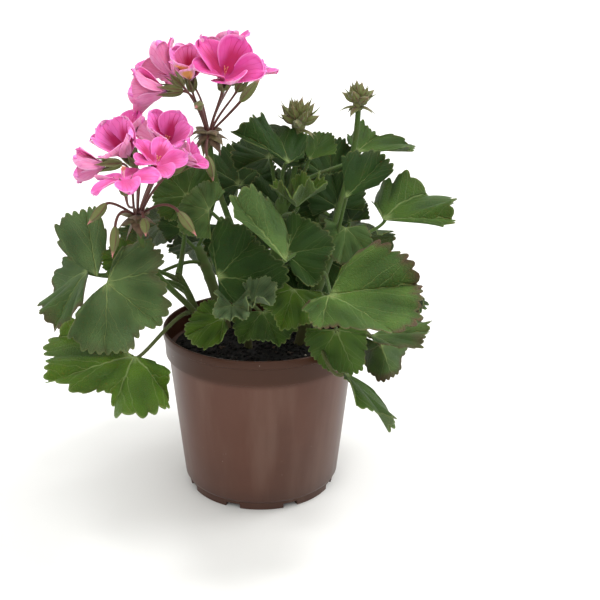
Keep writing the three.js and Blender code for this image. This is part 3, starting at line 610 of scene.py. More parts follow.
def leaf_recipe(tree, deep, light, vein_colour, relief):
    vein, cells, share, fold = use_group(tree, veins)
    fresh, grey, edge = tones(tree)
    # The tone's last amount is painted shade: how far a leaf deep in the plant is darkened.
    dark = note(tree, "tone", "Alpha")
    patches = speckle(tree, 38.0)
    zone = ramp(share, 0.25, 0.5) * ramp(share, 0.85, 0.6)
    fade = (share * -0.5 + 0.9) * (dark * -0.55 + 1.0)
    ragged = share + (speckle(tree, 45.0) * 0.7 - 0.37)
    base = painted(
        mixed(ramp(patches, 0.35, 0.68), deep, light),
        (fresh * 0.85, FRESH),
        # a grey bloom with painted sheen in it
        (grey * 0.6, GREY_BLOOM_AND_SHEEN),
        # painted shade on leaves deep in the plant, and the leaf's darker zone, in one green
        ((dark * 0.95).maths("MAXIMUM", zone * 0.3), SHADE_AND_ZONE_GREEN),
        # painted shade in the fold of each pleat
        (fold * 0.35, SHADE_AND_ZONE_GREEN),
        (vein * fade, vein_colour),
        (ramp(share, 0.16, 0.02), vein_colour),
        (ramp(share, 0.95, 1.0) * 0.4, vein_colour),
        (ramp(ragged, 0.80, 1.02) * edge, PURPLED),
    )
    height = vein * relief + cells * 0.4 + speckle(tree, 900.0) * 0.25
    return {"Base Color": base, "Normal": raised(height, 0.9, 0.8), "Roughness": patches * 0.25 + 0.38}


leaf_face = new_material(
    "leaf face", leaf_recipe,
    (0.034, 0.084, 0.005), (0.070, 0.150, 0.010), (0.20, 0.27, 0.09), -1.0,
    sheen_weight=0.01, sheen_roughness=0.45, specular_ior_level=0.13, **LIT_THROUGH,
)
leaf_back = new_material(
    "leaf underside", leaf_recipe,
    (0.11, 0.165, 0.06), (0.16, 0.23, 0.09), (0.22, 0.29, 0.13), 1.2,
    sheen_weight=0.08, sheen_roughness=0.5, specular_ior_level=0.15, **LIT_THROUGH,
)

# %% [markdown]
# ## Leaf blades
# A geranium leaf is round, cut by shallow lobes and rimmed with small rounded teeth. Its surface is pleated
# along the veins and ripples more and more towards the edge. The rule below walks out from the stalk along
# each direction: the edge is so far away, the blade rises and bends so much, and teeth, pleats and a fine
# frill are added where the real leaf has them. Half blades and folded ones come from the forms in the plan.

# %% The edge of a blade
INSET = 0.975  # how far out the outline is put, so that no tooth leaves the box
GAP_DEPTH, GAP_WIDTH = 0.075, 0.07  # between two lobes, as shares of the length and of a lobe
TOOTH, TOOTH_DEPTH, TOOTH_ROUND = 7.6, 0.07, 2.2  # degrees from tooth to tooth, share of the length, power
TOOTH_DRIFT, DRIFT_WAVES = 0.35, 3  # teeth, waves round a whole turn
UNEVEN, UNEVEN_WAVES = 0.012, 11  # share of the length, waves round a whole turn


def edge_share(leaf, angle, share):
    """How far out the edge is: the plain outline, notched between lobes and between teeth."""
    outline = leaf.edge[-1][1]
    for (low, near), (high, far) in zip(leaf.edge, leaf.edge[1:]):
        if low <= angle < high:
            outline = near + (far - near) * smooth(low, high, angle)
    from_gap = abs((angle * LOBES / 360) % 1 - 0.5)
    gap = GAP_DEPTH * exp(-((from_gap / GAP_WIDTH) ** 2))
    walk = angle / TOOTH + TOOTH_DRIFT * wave(DRIFT_WAVES * angle + leaf.phase)
    tooth = TOOTH_DEPTH * abs(2 * (walk % 1) - 1) ** TOOTH_ROUND
    uneven = UNEVEN * (1 + wave(UNEVEN_WAVES * angle + 2 * leaf.phase))
    return outline * (INSET - (gap + tooth + uneven) * share**5)


# %% The blade
RIPPLES, FRILL_WAVES, CURL_WAVES = 5, 13, 6.5  # waves of the blade round a whole turn
BLADE_ROWS, BLADE_STEP = 15, 1.36  # rows from the stalk to the edge, degrees between two columns
CROWDING = 1.25  # draws the rows together towards the edge
BLADE_THICKNESS = 0.5
PLEAT, CREASE, FRILL, CURL = 0.13, 0.065, 0.02, 0.03  # shares of the length
MIDDLE = 0.7  # how high on its pleats the plain blade lies
PLAIN_WAVE, PLEAT_MOST = 14, 1.15  # the wave of a plain form, and the most that waves may deepen a pleat


def blade_point(leaf, angle, share):
    reach = share * edge_share(leaf, angle, share)
    lift = leaf.lifts[0 if angle > 0 else 1]
    sideways, forward = wave(angle), cos(radians(angle))
    rippled = cos(radians(RIPPLES * angle + leaf.phase))
    bend = radians(leaf.curl + leaf.wave * rippled)
    out, rise = arc(radians(leaf.cup + lift * abs(sideways)), bend, reach)
    valley, fold = abs(wave(LOBES / 2 * angle)), abs(wave(LOBES * angle))
    ruffled = leaf.wave / PLAIN_WAVE
    rise += min(ruffled, PLEAT_MOST) * PLEAT * (valley - MIDDLE) * share * reach
    rise += ruffled * CREASE * (fold - MIDDLE) * smooth(0.2, 0.7, share) * reach
    rise += FRILL * ruffled * wave(FRILL_WAVES * angle + 3 * leaf.phase) * share**3
    rise += CURL * ruffled * wave(CURL_WAVES * angle + 5 * leaf.phase) * share**5
    spot = leaf.rib * (out * forward) + leaf.side * (out * sideways) + leaf.normal * rise
    return leaf.at + spot * leaf.length, (reach * sideways, reach * forward, share)


def read_leaf(place, at, direction, turn, length, form, phase, tint):
    cup, curl, waves, lifts, edge = FORMS[form]
    normal, rib, side = facing(direction, turn)
    return SimpleNamespace(
        place=place, at=Vector(at), normal=normal, rib=rib, side=side, length=length, phase=phase,
        tint=TINTS[tint], cup=cup, curl=curl, wave=waves, lifts=lifts, edge=list(edge.items()),
    )


def add_blade(bm, leaf):
    right, left = leaf.edge[0][0], leaf.edge[-1][0]

    def place(u, v):
        return blade_point(leaf, left + u * (right - left), 1 - (1 - v) ** CROWDING)

    bend_grid(bm, round((left - right) / BLADE_STEP), BLADE_ROWS, place, leaf.tint)


leaves = {stem: [read_leaf(*row) for row in rows] for stem, rows in LEAVES.items()}
for name in STEMS:
    bm = bmesh.new()
    for leaf in leaves[name]:
        add_blade(bm, leaf)
    finish_piece(f"leaves_{name}", bm, [leaf_face, leaf_back], f"leafy_stem_{name}", BLADE_THICKNESS)

# %% [markdown]
# ## Stems and leaf stalks
# The stems are thick and green, a little brown near the soil, with a slight swelling where each stalk
# leaves. A tube that follows a curve is all that they need: the grid is rolled up, and its thickness is a
# rule of the way along.


# %% Stem material
def stalk_recipe(tree, low, high, dark):
    """One colour low down and another high up, with darker streaks."""
    height = parts(here(tree))[2]
    streaks = ramp(speckle(tree, 130.0, 4.0), 0.5, 0.75) * 0.5
    base = painted(low, (ramp(height, 0.095, 0.16), high), (streaks, dark))
    return {"Base Color": base, "Normal": raised(speckle(tree, 700.0), 0.3, 0.3)}


green_stalk = new_material(
    "green stalk", stalk_recipe,
    (0.075, 0.075, 0.025), (0.052, 0.095, 0.018), (0.075, 0.06, 0.025),
    roughness=0.6, sheen_weight=0.06, specular_ior_level=0.15,
)

# %% Stems, leaf stalks and flower-head stalks
STALK_RADIUS, STALK_INSET = 1.15, 1.3
STALK_LIFT, STALK_OUT, STALK_UNDER, STALK_BACK = 0.28, 0.25, 0.2, 0.08  # shares of the way
BEND_AT, BEND_RISE = 0.45, 12
PEDUNCLE_RADIUS, PEDUNCLE_LEAN, PEDUNCLE_RISE, PEDUNCLE_STRAIGHT, PEDUNCLE_BACK = 1.9, 0.2, 0.12, 0.42, 8
STALK_STEPS, PEDUNCLE_STEPS, STEM_STEPS = 16, 18, 44
SWELLING, SWELLING_REACH = 0.1, 0.025  # shares of the stem's radius and of its length
KNOB_LOW = 2.5


def stem_handles(name):
    foot, tip, _ = STEMS[name]
    return foot, Vector(foot).lerp(Vector(tip), BEND_AT) + UP * BEND_RISE, tip


def add_stalk(bm, stem, leaf):
    start = bezier(stem_handles(stem), leaf.place)
    end = blade_point(leaf, 0, STALK_INSET / leaf.length)[0]
    reach = (end - start).length
    outward = (end - start).to_2d().to_3d().normalized()
    risen = start + outward * reach * STALK_OUT + UP * reach * STALK_LIFT
    under = end - leaf.normal * reach * STALK_UNDER - outward * reach * STALK_BACK
    points = along_curve((start, risen, under, end), STALK_STEPS)
    return add_tube(bm, points, lambda s: STALK_RADIUS * (1.25 - 0.35 * s + 0.25 * smooth(0.93, 1, s)), 9)


def add_peduncle(bm, stem, place, top):
    start = bezier(stem_handles(stem), place)
    reach = (top - start).length
    below = top - UP * reach * PEDUNCLE_STRAIGHT + Vector((0, PEDUNCLE_BACK, 0))
    handles = (start, start.lerp(top, PEDUNCLE_LEAN) + UP * reach * PEDUNCLE_RISE, below, top)
    return add_tube(bm, along_curve(handles, PEDUNCLE_STEPS), lambda s: PEDUNCLE_RADIUS * (1.1 - 0.15 * s), 12)


def add_stem(bm, name):
    """The stem swells a little at each place that a stalk leaves it."""

    def thickness(share):
        swell = sum(exp(-(((share - leaf.place) / SWELLING_REACH) ** 2)) for leaf in leaves[name])
        taper = 1.04 - 0.16 * share + SWELLING * min(swell, 1)
        return STEMS[name][2] * taper * (1 - 0.3 * smooth(0.97, 1, share))

    return add_tube(bm, along_curve(stem_handles(name), STEM_STEPS), thickness, 16)


tops = [(*row[:2], Vector(row[2]) - UP * KNOB_LOW) for row in UMBELS.values()]
tops += [(*row[:2], Vector(row[2])) for row in HEADS.values()]
stalks = {}
for name in STEMS:
    bm = bmesh.new()
    stalks[name] = [add_stem(bm, name)] + [add_stalk(bm, name, leaf) for leaf in leaves[name]]
    stalks[name] += [add_peduncle(bm, *row) for row in tops if row[0] == name]
    finish_piece(f"stalks_{name}", bm, [green_stalk], f"leafy_stem_{name}")

# %% [markdown]
# A geranium is downy: short pale hairs stand out from its stems, stalks and buds. Each is a needle with three
# sides, rooted a little below the surface, so thousands of them stay light.

# %% Hairs on the stems and stalks
HAIR_LENGTH, HAIR_RADIUS, HAIR_ROOT = (0.7, 1.3), 0.05, 0.85  # the root is a share of the stalk's radius
HAIRS_PER_MM, HAIR_SLANT = 1.6, 0.3  # the slant is the most a hair rises or sinks on its way out
down = new_material(
    "down", stalk_recipe, (0.30, 0.32, 0.18), (0.34, 0.42, 0.22), (0.30, 0.24, 0.15), roughness=0.5
)


def add_hairs(bm, points, radius, draw):
    """Hairs at random places along a tube and round it."""
    last = len(points) - 1
    for k, (sides, near, far) in enumerate(zip(frames_along(points), points, points[1:])):
        for _ in range(round((far - near).length * HAIRS_PER_MM)):
            part, angle = draw.random(), draw.uniform(0, 2 * pi)
            out = out_from(sides, angle)
            foot = near.lerp(far, part) + out * radius((k + part) / last) * HAIR_ROOT
            way = (out + UP * draw.uniform(-HAIR_SLANT, HAIR_SLANT)).normalized()
            length = draw.uniform(*HAIR_LENGTH)
            turn = way.to_track_quat("Z", "Y").to_matrix().to_4x4()
            place = Matrix.Translation((foot + way * length / 2) * MM) @ turn
            size = {"radius1": HAIR_RADIUS * MM, "radius2": 0, "depth": length * MM}
            bmesh.ops.create_cone(bm, segments=3, cap_ends=True, matrix=place, **size)


def finish_hairs(name, tubes):
    draw, bm = random.Random(len(tubes)), bmesh.new()
    for points, radius in tubes:
        add_hairs(bm, points, radius, draw)
    finish_piece(name, bm, [down])


for name in STEMS:
    finish_hairs(f"hairs_{name}", stalks[name])

# %% [markdown]
# ## Petals
# Five broad petals overlap round each throat. A petal is narrow at its claw, widest two thirds of the way
# out and round at its end. It is dished a little, and leans over its neighbour on one side, so that the five
# lie like a fan of cards. The face is pink with a crimson blotch that feathers out along fine veins, and its
# rim is paler. Two of the five carry most of the blotch. The back is paler, with a silvery bloom.

# %% The petal pattern and materials
RIM, AGED, AMBER = (0.9, 0.5, 0.74), (0.42, 0.1, 0.16), (0.78, 0.33, 0.08)
LINES, LINES_FROM = 22.0, 0.25  # how close, and how far below the claw they meet
SILKY = {"subsurface_weight": 0.15, "subsurface_scale": 0.002, "specular_ior_level": 0.2}


def petal_pattern_recipe(flat):
    """Fine lines that fan out from below the claw, the blotch that feathers along them, and the rim."""
    x, y, rim = parts(flat)
    wander = add_node(flat.tree, "TexNoise", {"Vector": flat, "Scale": 3.0})
    fan = x.maths("DIVIDE", y + LINES_FROM) + wander * 0.12
    lines = ramp(abs((fan * LINES).maths("SINE")), 0.35, 0.0)
    reach = ramp(y - lines * 0.16, 0.90, 0.55) * ramp(y, 0.04, 0.2)
    return {"Lines": lines, "Blotch": ramp(abs(x), 0.34, 0.10) * reach, "Rim": rim}


petal_pattern = new_group("petal pattern", petal_pattern_recipe)


def petal_recipe(tree, pink, pale, line, blotch_colour, blotch_share):
    lines, blotch, rim = use_group(tree, petal_pattern)
    marked, aged, amber = tones(tree)
    paleness = note(tree, "tone", "Alpha")
    cloud = ramp(speckle(tree, 120.0, 2.0), 0.3, 0.7)
    base = painted(
        mixed(cloud * 0.45, pink, pale),
        (ramp(paleness, 0.5, 1.0) * 0.8, pale),
        (ramp(paleness, 0.5, 0.0) * 0.6, line),
        (ramp(rim, 0.62, 1.0) * 0.75, pale),
        (lines * 0.4, line),
        (blotch * (marked * 0.55 + 0.4) * blotch_share, blotch_colour),
        (ramp(rim, 0.9, 1.0) * 0.2, RIM),
        (aged * 0.5, AGED),
        (amber * ramp(rim, 0.9, 0.3), AMBER),
    )
    return {"Base Color": base, "Normal": raised(lines * -0.5 + speckle(tree, 900.0) * 0.2, 0.35, 0.25)}


petal_face = new_material(
    "petal face", petal_recipe,
    (0.72, 0.085, 0.38), (0.84, 0.24, 0.62), (0.54, 0.03, 0.24), (0.37, 0.002, 0.08), 1.0,
    roughness=0.55, sheen_weight=0.05, **SILKY,
)
petal_back = new_material(
    "petal underside", petal_recipe,
    (0.70, 0.20, 0.42), (0.80, 0.38, 0.60), (0.50, 0.08, 0.24), (0.55, 0.05, 0.18), 0.4,
    roughness=0.6, sheen_weight=0.1, **SILKY,
)

# %% The petal rule
PETALS = 5
PETAL_STEP = 360 / PETALS
PETAL_THICKNESS = 0.35
SOFT_EDGE = 70  # degrees
PETAL_WIDTH = 0.40  # half width, as a share of the length
WIDEST, CLAW = 0.64, 0.16  # shares of the length and of the width
LEAN = 13  # degrees that each petal tips over its neighbour
THROAT = 0.6
PETAL_GRID = 14, 16
PETAL_CROWDING = 1.5  # draws the rows together towards the rim
SIDE_WAVE, END_WAVE, RIM_WAVE, WIDTH_WAVE = 0.05, 0.04, 0.05, 0.07  # heights and reaches of a petal's waves


def petal_width(share):
    if share > WIDEST:
        return PETAL_WIDTH * sqrt(max(0, 1 - ((share - WIDEST) / (1 - WIDEST)) ** 2.2))
    return PETAL_WIDTH * (CLAW + (1 - CLAW) * sin(pi / 2 * share / WIDEST) ** 1.2)


def add_petal(bm, floret, spin, rise, curl, length, dish, tone, phase):
    """One petal; its phase sets the waves of its edge, so that no two are alike."""
    axis = floret.axis
    outward = turned_round(floret.rib, axis, spin)
    side = axis.cross(outward)

    def place(u, v):
        share = 1 - (1 - v) ** PETAL_CROWDING
        across = 1 - 2 * u
        out, up = arc(radians(rise), radians(curl), share)
        slope = radians(rise + curl * share)
        normal = axis * cos(slope) - outward * sin(slope)
        lean = radians(LEAN) * smooth(0.1, 0.5, share)
        x = across * petal_width(share) * (0.97 + WIDTH_WAVE * sin(phase + 2.4 * share))
        height = dish * x * x / PETAL_WIDTH + sin(lean) * x
        height += SIDE_WAVE * share**2 * sin(2.6 * across * pi + phase) * abs(across)
        height += END_WAVE * share**4 * sin(1.7 * across * pi + 2 * phase)
        spot = outward * out + axis * up + side * (x * cos(lean)) + normal * height
        spot *= 1 + RIM_WAVE * share**5 * sin(2.5 * across * pi + phase)
        rim = max(abs(across) ** 3, share**6)
        return floret.at + axis * THROAT + spot * length, (x / (2 * PETAL_WIDTH), share, rim)

    bend_grid(bm, *PETAL_GRID, place, tone)


def read_floret(umbel, at, direction, spin, length, rise, curl):
    axis, rib, _ = facing(direction, spin)
    return SimpleNamespace(umbel=umbel, at=Vector(at), axis=axis, rib=rib, length=length, rise=rise, curl=curl)


# %% Florets
PALENESS, USUAL = {3: 0.95, 4: 0.15, 9: 0.85, 11: 0.75}, 0.5  # of a few florets, and of the others
AMBER_PETALS = (3, 0), (3, 4)
UPPER, LITTLE_MARKED = 0.25, 0.25  # petals that point up by more than UPPER carry the whole blotch
FIRST_DRAW = 40  # the florets' random draws count on from this
florets = [read_floret(*row) for row in FLORETS]
for number, floret in enumerate(florets, 1):
    draw = random.Random(FIRST_DRAW + number)
    bm = bmesh.new()
    for k in range(PETALS):
        uphill = turned_round(floret.rib, floret.axis, PETAL_STEP * k).z
        marked = 1 if uphill > UPPER else LITTLE_MARKED
        tone = (marked, draw.uniform(0, 0.35), (number, k) in AMBER_PETALS, PALENESS.get(number, USUAL))
        rise = floret.rise + draw.uniform(-5, 5)
        curl = floret.curl + draw.uniform(-14, 10)
        length = floret.length * draw.uniform(0.94, 0.99)
        dish, phase = draw.uniform(0.2, 0.5), draw.uniform(0, 6)
        add_petal(bm, floret, PETAL_STEP * k, rise, curl, length, dish, tone, phase)
    name = f"{floret.umbel}_{number}"
    finish_piece(f"floret_{name}", bm, [petal_face, petal_back], f"petals_{name}", PETAL_THICKNESS,
                 SOFT_EDGE)
flowers = {name: [floret for floret in florets if floret.umbel == name] for name in UMBELS}

# %% [markdown]
# ## Flower stalks, cups, bracts and buds
# Each flower stalk is thin and dark red-brown. Under the petals sits a cup of five narrow green sepals with
# brown streaks. The point where the stalks spread from is wrapped in dry brown bracts, and unopened buds
# hang from it like drops, green with a pink tip.

# %% Sepal, bract and bud materials
DRY_DARK, DRY_LIGHT = (0.060, 0.027, 0.020), (0.155, 0.085, 0.055)
ROSY = (0.62, 0.2, 0.22)


def sepal_recipe(tree, green, brown):
    """Green with brown streaks along it; the tone note turns it dry and brown, or pink at the tip."""
    ridge, along, _ = parts(note(tree, "flat", "Vector"))
    dry, rosy, _ = tones(tree)
    streaks = ramp(ridge + (speckle(tree, 260.0) * 1.6 - 0.8), 0.1, 0.9)
    dried = mixed(ramp(speckle(tree, 300.0), 0.3, 0.7), DRY_DARK, DRY_LIGHT)
    base = painted(green, (streaks * 0.75, brown), (dry, dried), (ramp(along, 0.72, 0.95) * rosy, ROSY))
    return {"Base Color": base, "Normal": raised(speckle(tree, 800.0), 0.4, 0.3)}


sepal_green = new_material(
    "sepal", sepal_recipe, (0.125, 0.15, 0.04), (0.12, 0.045, 0.03),
    roughness=0.55, sheen_weight=0.15, specular_ior_level=0.25,
)
flower_stalk = new_material(
    "flower stalk", stalk_recipe, (0.1, 0.04, 0.03), (0.10, 0.035, 0.028), (0.05, 0.02, 0.016),
    roughness=0.5, sheen_weight=0.08, specular_ior_level=0.25,
)

# %% Flower stalks and hanging buds
CUP = 9
PEDICEL_RADIUS, PEDICEL_RISE, PEDICEL_TURN, PEDICEL_STRAIGHT, PEDICEL_STEPS = 0.8, 0.12, 0.35, 0.25, 18
KNOB_RADIUS, KNOB_FOOT, KNOB_ROWS = 3.2, 1.7, (-KNOB_LOW, -1.5, 0, 1, 2)
BUD_RADIUS, BUD_TONE, BUD_FOOT, BUD_ROWS = 2.4, (0.1, 1, 0, 1), 0.28, 10
UPRIGHT = 0.99  # past this a bud has no side of its own to bow to


def node_edge(middle, towards):
    return middle + (towards - middle).to_2d().to_3d().normalized() * KNOB_FOOT


def add_pedicel(bm, middle, floret):
    foot = floret.at - floret.axis * CUP
    start = node_edge(middle, foot)
    reach = (foot - start).length
    handles = (start, start.lerp(foot, PEDICEL_TURN) + UP * reach * PEDICEL_RISE,
               foot - floret.axis * reach * PEDICEL_STRAIGHT, foot + floret.axis * 2)
    points = along_curve(handles, PEDICEL_STEPS)
    add_tube(bm, points, lambda s: PEDICEL_RADIUS * (1.0 - 0.2 * s + 0.5 * smooth(0.8, 1, s)), 8)


def add_spindle(bm, foot, along, length, radius, tone, bow=0.0):
    """A ridged pointed bud, fattest a little below its middle."""
    drift = along.orthogonal() if abs(along.z) > UPRIGHT else along.cross(UP).cross(along)
    drift.normalize()
    shares = [k / BUD_ROWS for k in range(BUD_ROWS + 1)]
    points = [foot + along * length * s + drift * bow * length * s * s for s in shares]

    def thickness(share):
        belly = sin(pi * min(share**0.8, 1)) ** 0.9
        return radius * (BUD_FOOT * (1 - share) + belly) * (1 - share**6)

    return add_tube(bm, points, thickness, 15, tone, ridges=5)


for name, (_, _, middle, _, _) in UMBELS.items():
    middle, spray = Vector(middle), f"spray_{name}"
    bm, buds, tubes = bmesh.new(), bmesh.new(), []
    knob = [middle + UP * z for z in KNOB_ROWS]
    add_tube(bm, knob, lambda s: KNOB_RADIUS * (0.65 + 0.35 * sin(pi * s)), 14)
    for floret in flowers[name]:
        add_pedicel(bm, middle, floret)
    for umbel, bend, tip, length in BUDS:
        if umbel == name:
            bend, tip = Vector(bend), Vector(tip)
            along = (tip - bend).normalized()
            foot = tip - along * length
            handles = (node_edge(middle, tip), bend, foot + along)
            add_tube(bm, along_curve(handles, 14), lambda s: 0.75 + 0.15 * s, 8)
            tubes.append(add_spindle(buds, foot, along, length, BUD_RADIUS, BUD_TONE))
    finish_piece(f"flower_stalks_{name}", bm, [flower_stalk], spray)
    finish_piece(f"buds_{name}", buds, [sepal_green], spray)
    finish_hairs(f"bud_hairs_{name}", tubes * 2)

# %% [markdown]
# Sepals and bracts are the same shape, a narrow pointed blade, so one rule makes both. It starts at a foot,
# sets off in a direction, and bends towards another as it goes.

# %% Sepals and bracts
SLIP_THICKNESS = 0.3
SEPAL_WIDTH, SEPAL_DISH, SEPAL_LEAN = 1.9, 0.6, 0.16
BRACT_STAGGER, BRACT_FROM = 15, 2
WHORLS = {"upper": (30, -15), "hanging": (-45, -62), "head": (12, -6)}  # elevations, turn and turn about
# spray bracts: whorl, how far below the node, length, half width, how dry
SPRAY_BRACTS = [
    ("upper", 0, 12, 4.0, 0.8), ("upper", 1, 8, 3.2, 1.0),
    ("hanging", 0, 16, 4.0, 1.0), ("hanging", 1, 13, 3.4, 0.9),
]


def add_slip(bm, foot, direction, droop, length, width, tone, dish=0.35):
    """A narrow pointed blade that leaves in a direction and bends towards `droop`."""
    side = direction.cross(droop).normalized()

    def place(u, v):
        across = 2 * u - 1
        half = width * sin(pi * min(v**0.7, 1)) ** 0.8 * (1 - v**3) + 0.25 * width * (1 - v)
        ahead = direction.lerp(droop, 0.5 * v).normalized()
        inner = side.cross(ahead)
        spot = foot + ahead * (length * v) + side * (half * across) + inner * (dish * half * across * across)
        return spot, (1 - 2 * abs(across), v, 0)

    bend_grid(bm, 6, 9, place, tone)


def add_cup(bm, floret, draw):
    """Five sepals that stand up round the claws; they spread further where the petals lie flatter."""
    axis = floret.axis
    for k in range(PETALS):
        out = turned_round(floret.rib, axis, PETAL_STEP * (k + 0.5))
        direction = (axis + out * SEPAL_LEAN).normalized()
        spread = min(0.06 + 0.5 / tan(radians(max(floret.rise, 30))), 0.8)
        droop = (axis + out * spread * draw.uniform(0.85, 1.25)).normalized()
        tone = (draw.uniform(0.1, 0.45), draw.uniform(0.1, 0.5), 0, 1)
        length = CUP * draw.uniform(1.3, 1.5) + (3 if floret.curl == 0 else 0)
        foot = floret.at - axis * CUP + out * 0.7
        add_slip(bm, foot, direction, droop, length, SEPAL_WIDTH, tone, SEPAL_DISH)


def add_bracts(bm, middle, count, whorl, length, width, dry, draw):
    """Bracts that leave a node all round, at two elevations by turns; width is half their width."""
    for k in range(count):
        azimuth = 360 * k / count + BRACT_STAGGER * (k % 2)
        out = bearing(azimuth, WHORLS[whorl][(k + 1) % 2])
        foot = middle + bearing(azimuth, 0) * BRACT_FROM * 0.8
        droop = (out - UP * draw.uniform(0.5, 1.8)).normalized()
        tone = (dry * draw.uniform(0.6, 1), 0, 0, 1)
        add_slip(bm, foot, out, droop, length * draw.uniform(0.85, 1.05), width, tone)


def finish_slips(name, bm, node):
    finish_piece(name, bm, [sepal_green, sepal_green], node, SLIP_THICKNESS, SOFT_EDGE)


for name, (_, _, middle, standing, hanging) in UMBELS.items():
    middle, draw, bm = Vector(middle), random.Random(len(name) + standing), bmesh.new()
    for floret in flowers[name]:
        add_cup(bm, floret, draw)
    for whorl, below, *look in SPRAY_BRACTS:
        add_bracts(bm, middle - UP * below, standing if whorl == "upper" else hanging, whorl, *look, draw)
    finish_slips(f"sepals_{name}", bm, f"spray_{name}")

# %% [markdown]
# ## The closed heads
# Each is a cluster of pointed buds that spread evenly over a dome, as seeds do on a sunflower: every bud is
# turned by the golden angle from the last one. A collar of small bracts sits below.

# %% Closed heads
GOLDEN_TURN = 137.5
BUD_FAN, SLIP_FAN = (88, 84), (70, 66)  # elevation of the top one, and how far they come down from it
HEAD_ROWS, HEAD_TONE, HEAD_SLIP_TONE = (-0.3, 0, 0.6, 1.2, 1.7), (0.2, 0, 0, 1), (0.12, 0, 0, 1)


def on_dome(k, count, fan):
    return bearing(GOLDEN_TURN * k, fan[0] - fan[1] * (int(k) + 0.5) / count)


for name, (stem, _, foot, radius, count) in HEADS.items():
    foot, core, draw = Vector(foot), radius * 0.55, random.Random(7 + count)
    middle = foot + UP * core * 0.9
    bm, slips, tubes = bmesh.new(), bmesh.new(), []
    dome = [foot + UP * z * core for z in HEAD_ROWS]
    add_tube(bm, dome, lambda s: core * 0.75 * (0.5 + sin(pi * s)) / 1.5, 14, HEAD_TONE)
    for k in range(count):
        out = on_dome(k, count, BUD_FAN)
        tone = (draw.uniform(0, 0.25), draw.uniform(0, 0.2), 0, 1)
        length = radius * draw.uniform(1.2, 1.5)
        tubes.append(add_spindle(bm, middle + out * radius * 0.1, out, length, BUD_RADIUS, tone, 0.1))
    finish_piece(f"closed_head_{name}", bm, [sepal_green], f"leafy_stem_{stem}")
    finish_hairs(f"head_hairs_{name}", tubes * 2)
    add_bracts(slips, foot + UP * BRACT_FROM, 6, "head", 12, 2.2, 0.35, draw)
    for k in range(count):
        out = on_dome(k + 0.5, count, SLIP_FAN)
        way, length = (out + UP * 0.8).normalized(), radius * draw.uniform(0.95, 1.35)
        add_slip(slips, middle + out * radius * 0.35, out, way, length, 2.0, HEAD_SLIP_TONE)
    finish_slips(f"head_bracts_{name}", slips, f"leafy_stem_{stem}")

# %% [markdown]
# ## Stamens
# In the throat of an open floret stand a few pale threads with orange-brown tips. They are tiny, so each is
# a thin tube with a small swollen end.

# %% Stamens
STAMENS, STAMEN_STEPS, STAMEN_RADIUS, TIP_RADIUS = 6, 8, 0.16, 0.3


def thread_recipe(tree):
    along = parts(note(tree, "flat", "Vector"))[1]
    base = mixed(ramp(along, 0.7, 0.8), (0.8, 0.42, 0.55), (0.55, 0.16, 0.05))
    return {"Base Color": mixed(speckle(tree, 400.0) * 0.3, base, (0.85, 0.6, 0.6))}


def add_stamen(bm, floret, degrees, draw):
    at, axis = floret.at, floret.axis
    out = turned_round(floret.rib, axis, degrees + draw.uniform(-15, 15))
    tip = at + axis * floret.length * draw.uniform(0.3, 0.42) + out * draw.uniform(0.6, 1.8)
    points = along_curve((at - axis, at + axis * 3, tip), STAMEN_STEPS)
    add_tube(bm, points, lambda s: STAMEN_RADIUS + TIP_RADIUS * exp(-(((s - 0.94) / 0.07) ** 2)), 6)


stamen = new_material("stamen", thread_recipe, roughness=0.6)
for name in UMBELS:
    draw, bm = random.Random(3), bmesh.new()
    for floret in flowers[name]:
        for k in range(STAMENS):
            add_stamen(bm, floret, 360 / STAMENS * k, draw)
    finish_piece(f"stamens_{name}", bm, [stamen])

# %% [markdown]
# ## The pot
# A nursery pot is one thin wall of plastic, so its section is drawn once and spun round the axis. Its collar
# stands out a little from the body, a lip stiffens the rim, and a narrower foot holds the drain slots. The
# slots are cut with a Boolean modifier, which is the simplest way to cut plain holes through a wall.


# %% The pot's material
def plastic_recipe(tree):
    """Warm brown with dusty smears and pale specks, darker towards the foot; painted shade and a painted dark
    reflection darken the collar.
    """
    where = here(tree)
    height = parts(where)[2]
    squeezed = add_node(tree, "Mapping", {"Vector": where, "Scale": (1.0, 1.0, 0.12)})
    smears = speckle(tree, 60.0, 5.0, squeezed)
    dusty = ramp(height, 0.096, 0.090) * 0.10 + 0.02
    base = painted(
        (0.100, 0.043, 0.029),
        (ramp(speckle(tree, 14.0, 4.0, where), 0.35, 0.7), (0.078, 0.035, 0.024)),
        (ramp(smears, 0.45, 0.75) * dusty, (0.34, 0.24, 0.19)),
        # painted shade and a painted dark reflection on the collar, which sits under the leaves
        (ramp(height, 0.0905, 0.0975) * 0.85, (0.038, 0.013, 0.005)),
        (ramp(speckle(tree, 420.0, 2.0, where), 0.74, 0.8) * 0.35, (0.45, 0.38, 0.32)),
        # darker towards the foot
        (ramp(height, 0.02, 0.0) * 0.4, (0.03, 0.02, 0.016)),
    )
    normal = raised(speckle(tree, 90.0, 3.0, where), 0.12, 0.4)
    return {"Base Color": base, "Roughness": smears * 0.3 + 0.2, "Normal": normal}


plastic = new_material("pot plastic", plastic_recipe, specular_ior_level=0.2)

# %% The pot
POT_SECTION = [  # distance from the axis and height
    (0, 0), (49.8, 0), (50.2, 5), (51.4, 6), (52.6, 8), (61.6, 94), (62.4, 94.4), (63.6, 95),
    (64.1, 106.4), (65, 107), (65, 111.4), (64.7, 111.85), (64.4, 112), (63.6, 112), (63.2, 111.7),
    (62.2, 95.8), (60.2, 94), (51.2, 8.4), (48.4, 6), (48, 2), (0, 2),
]
POT_STEPS, POT_SHARP = 144, 40
SLOTS, SLOT_SIZE, SLOT_MIDDLE = 8, (16, 10, 6.4), 48

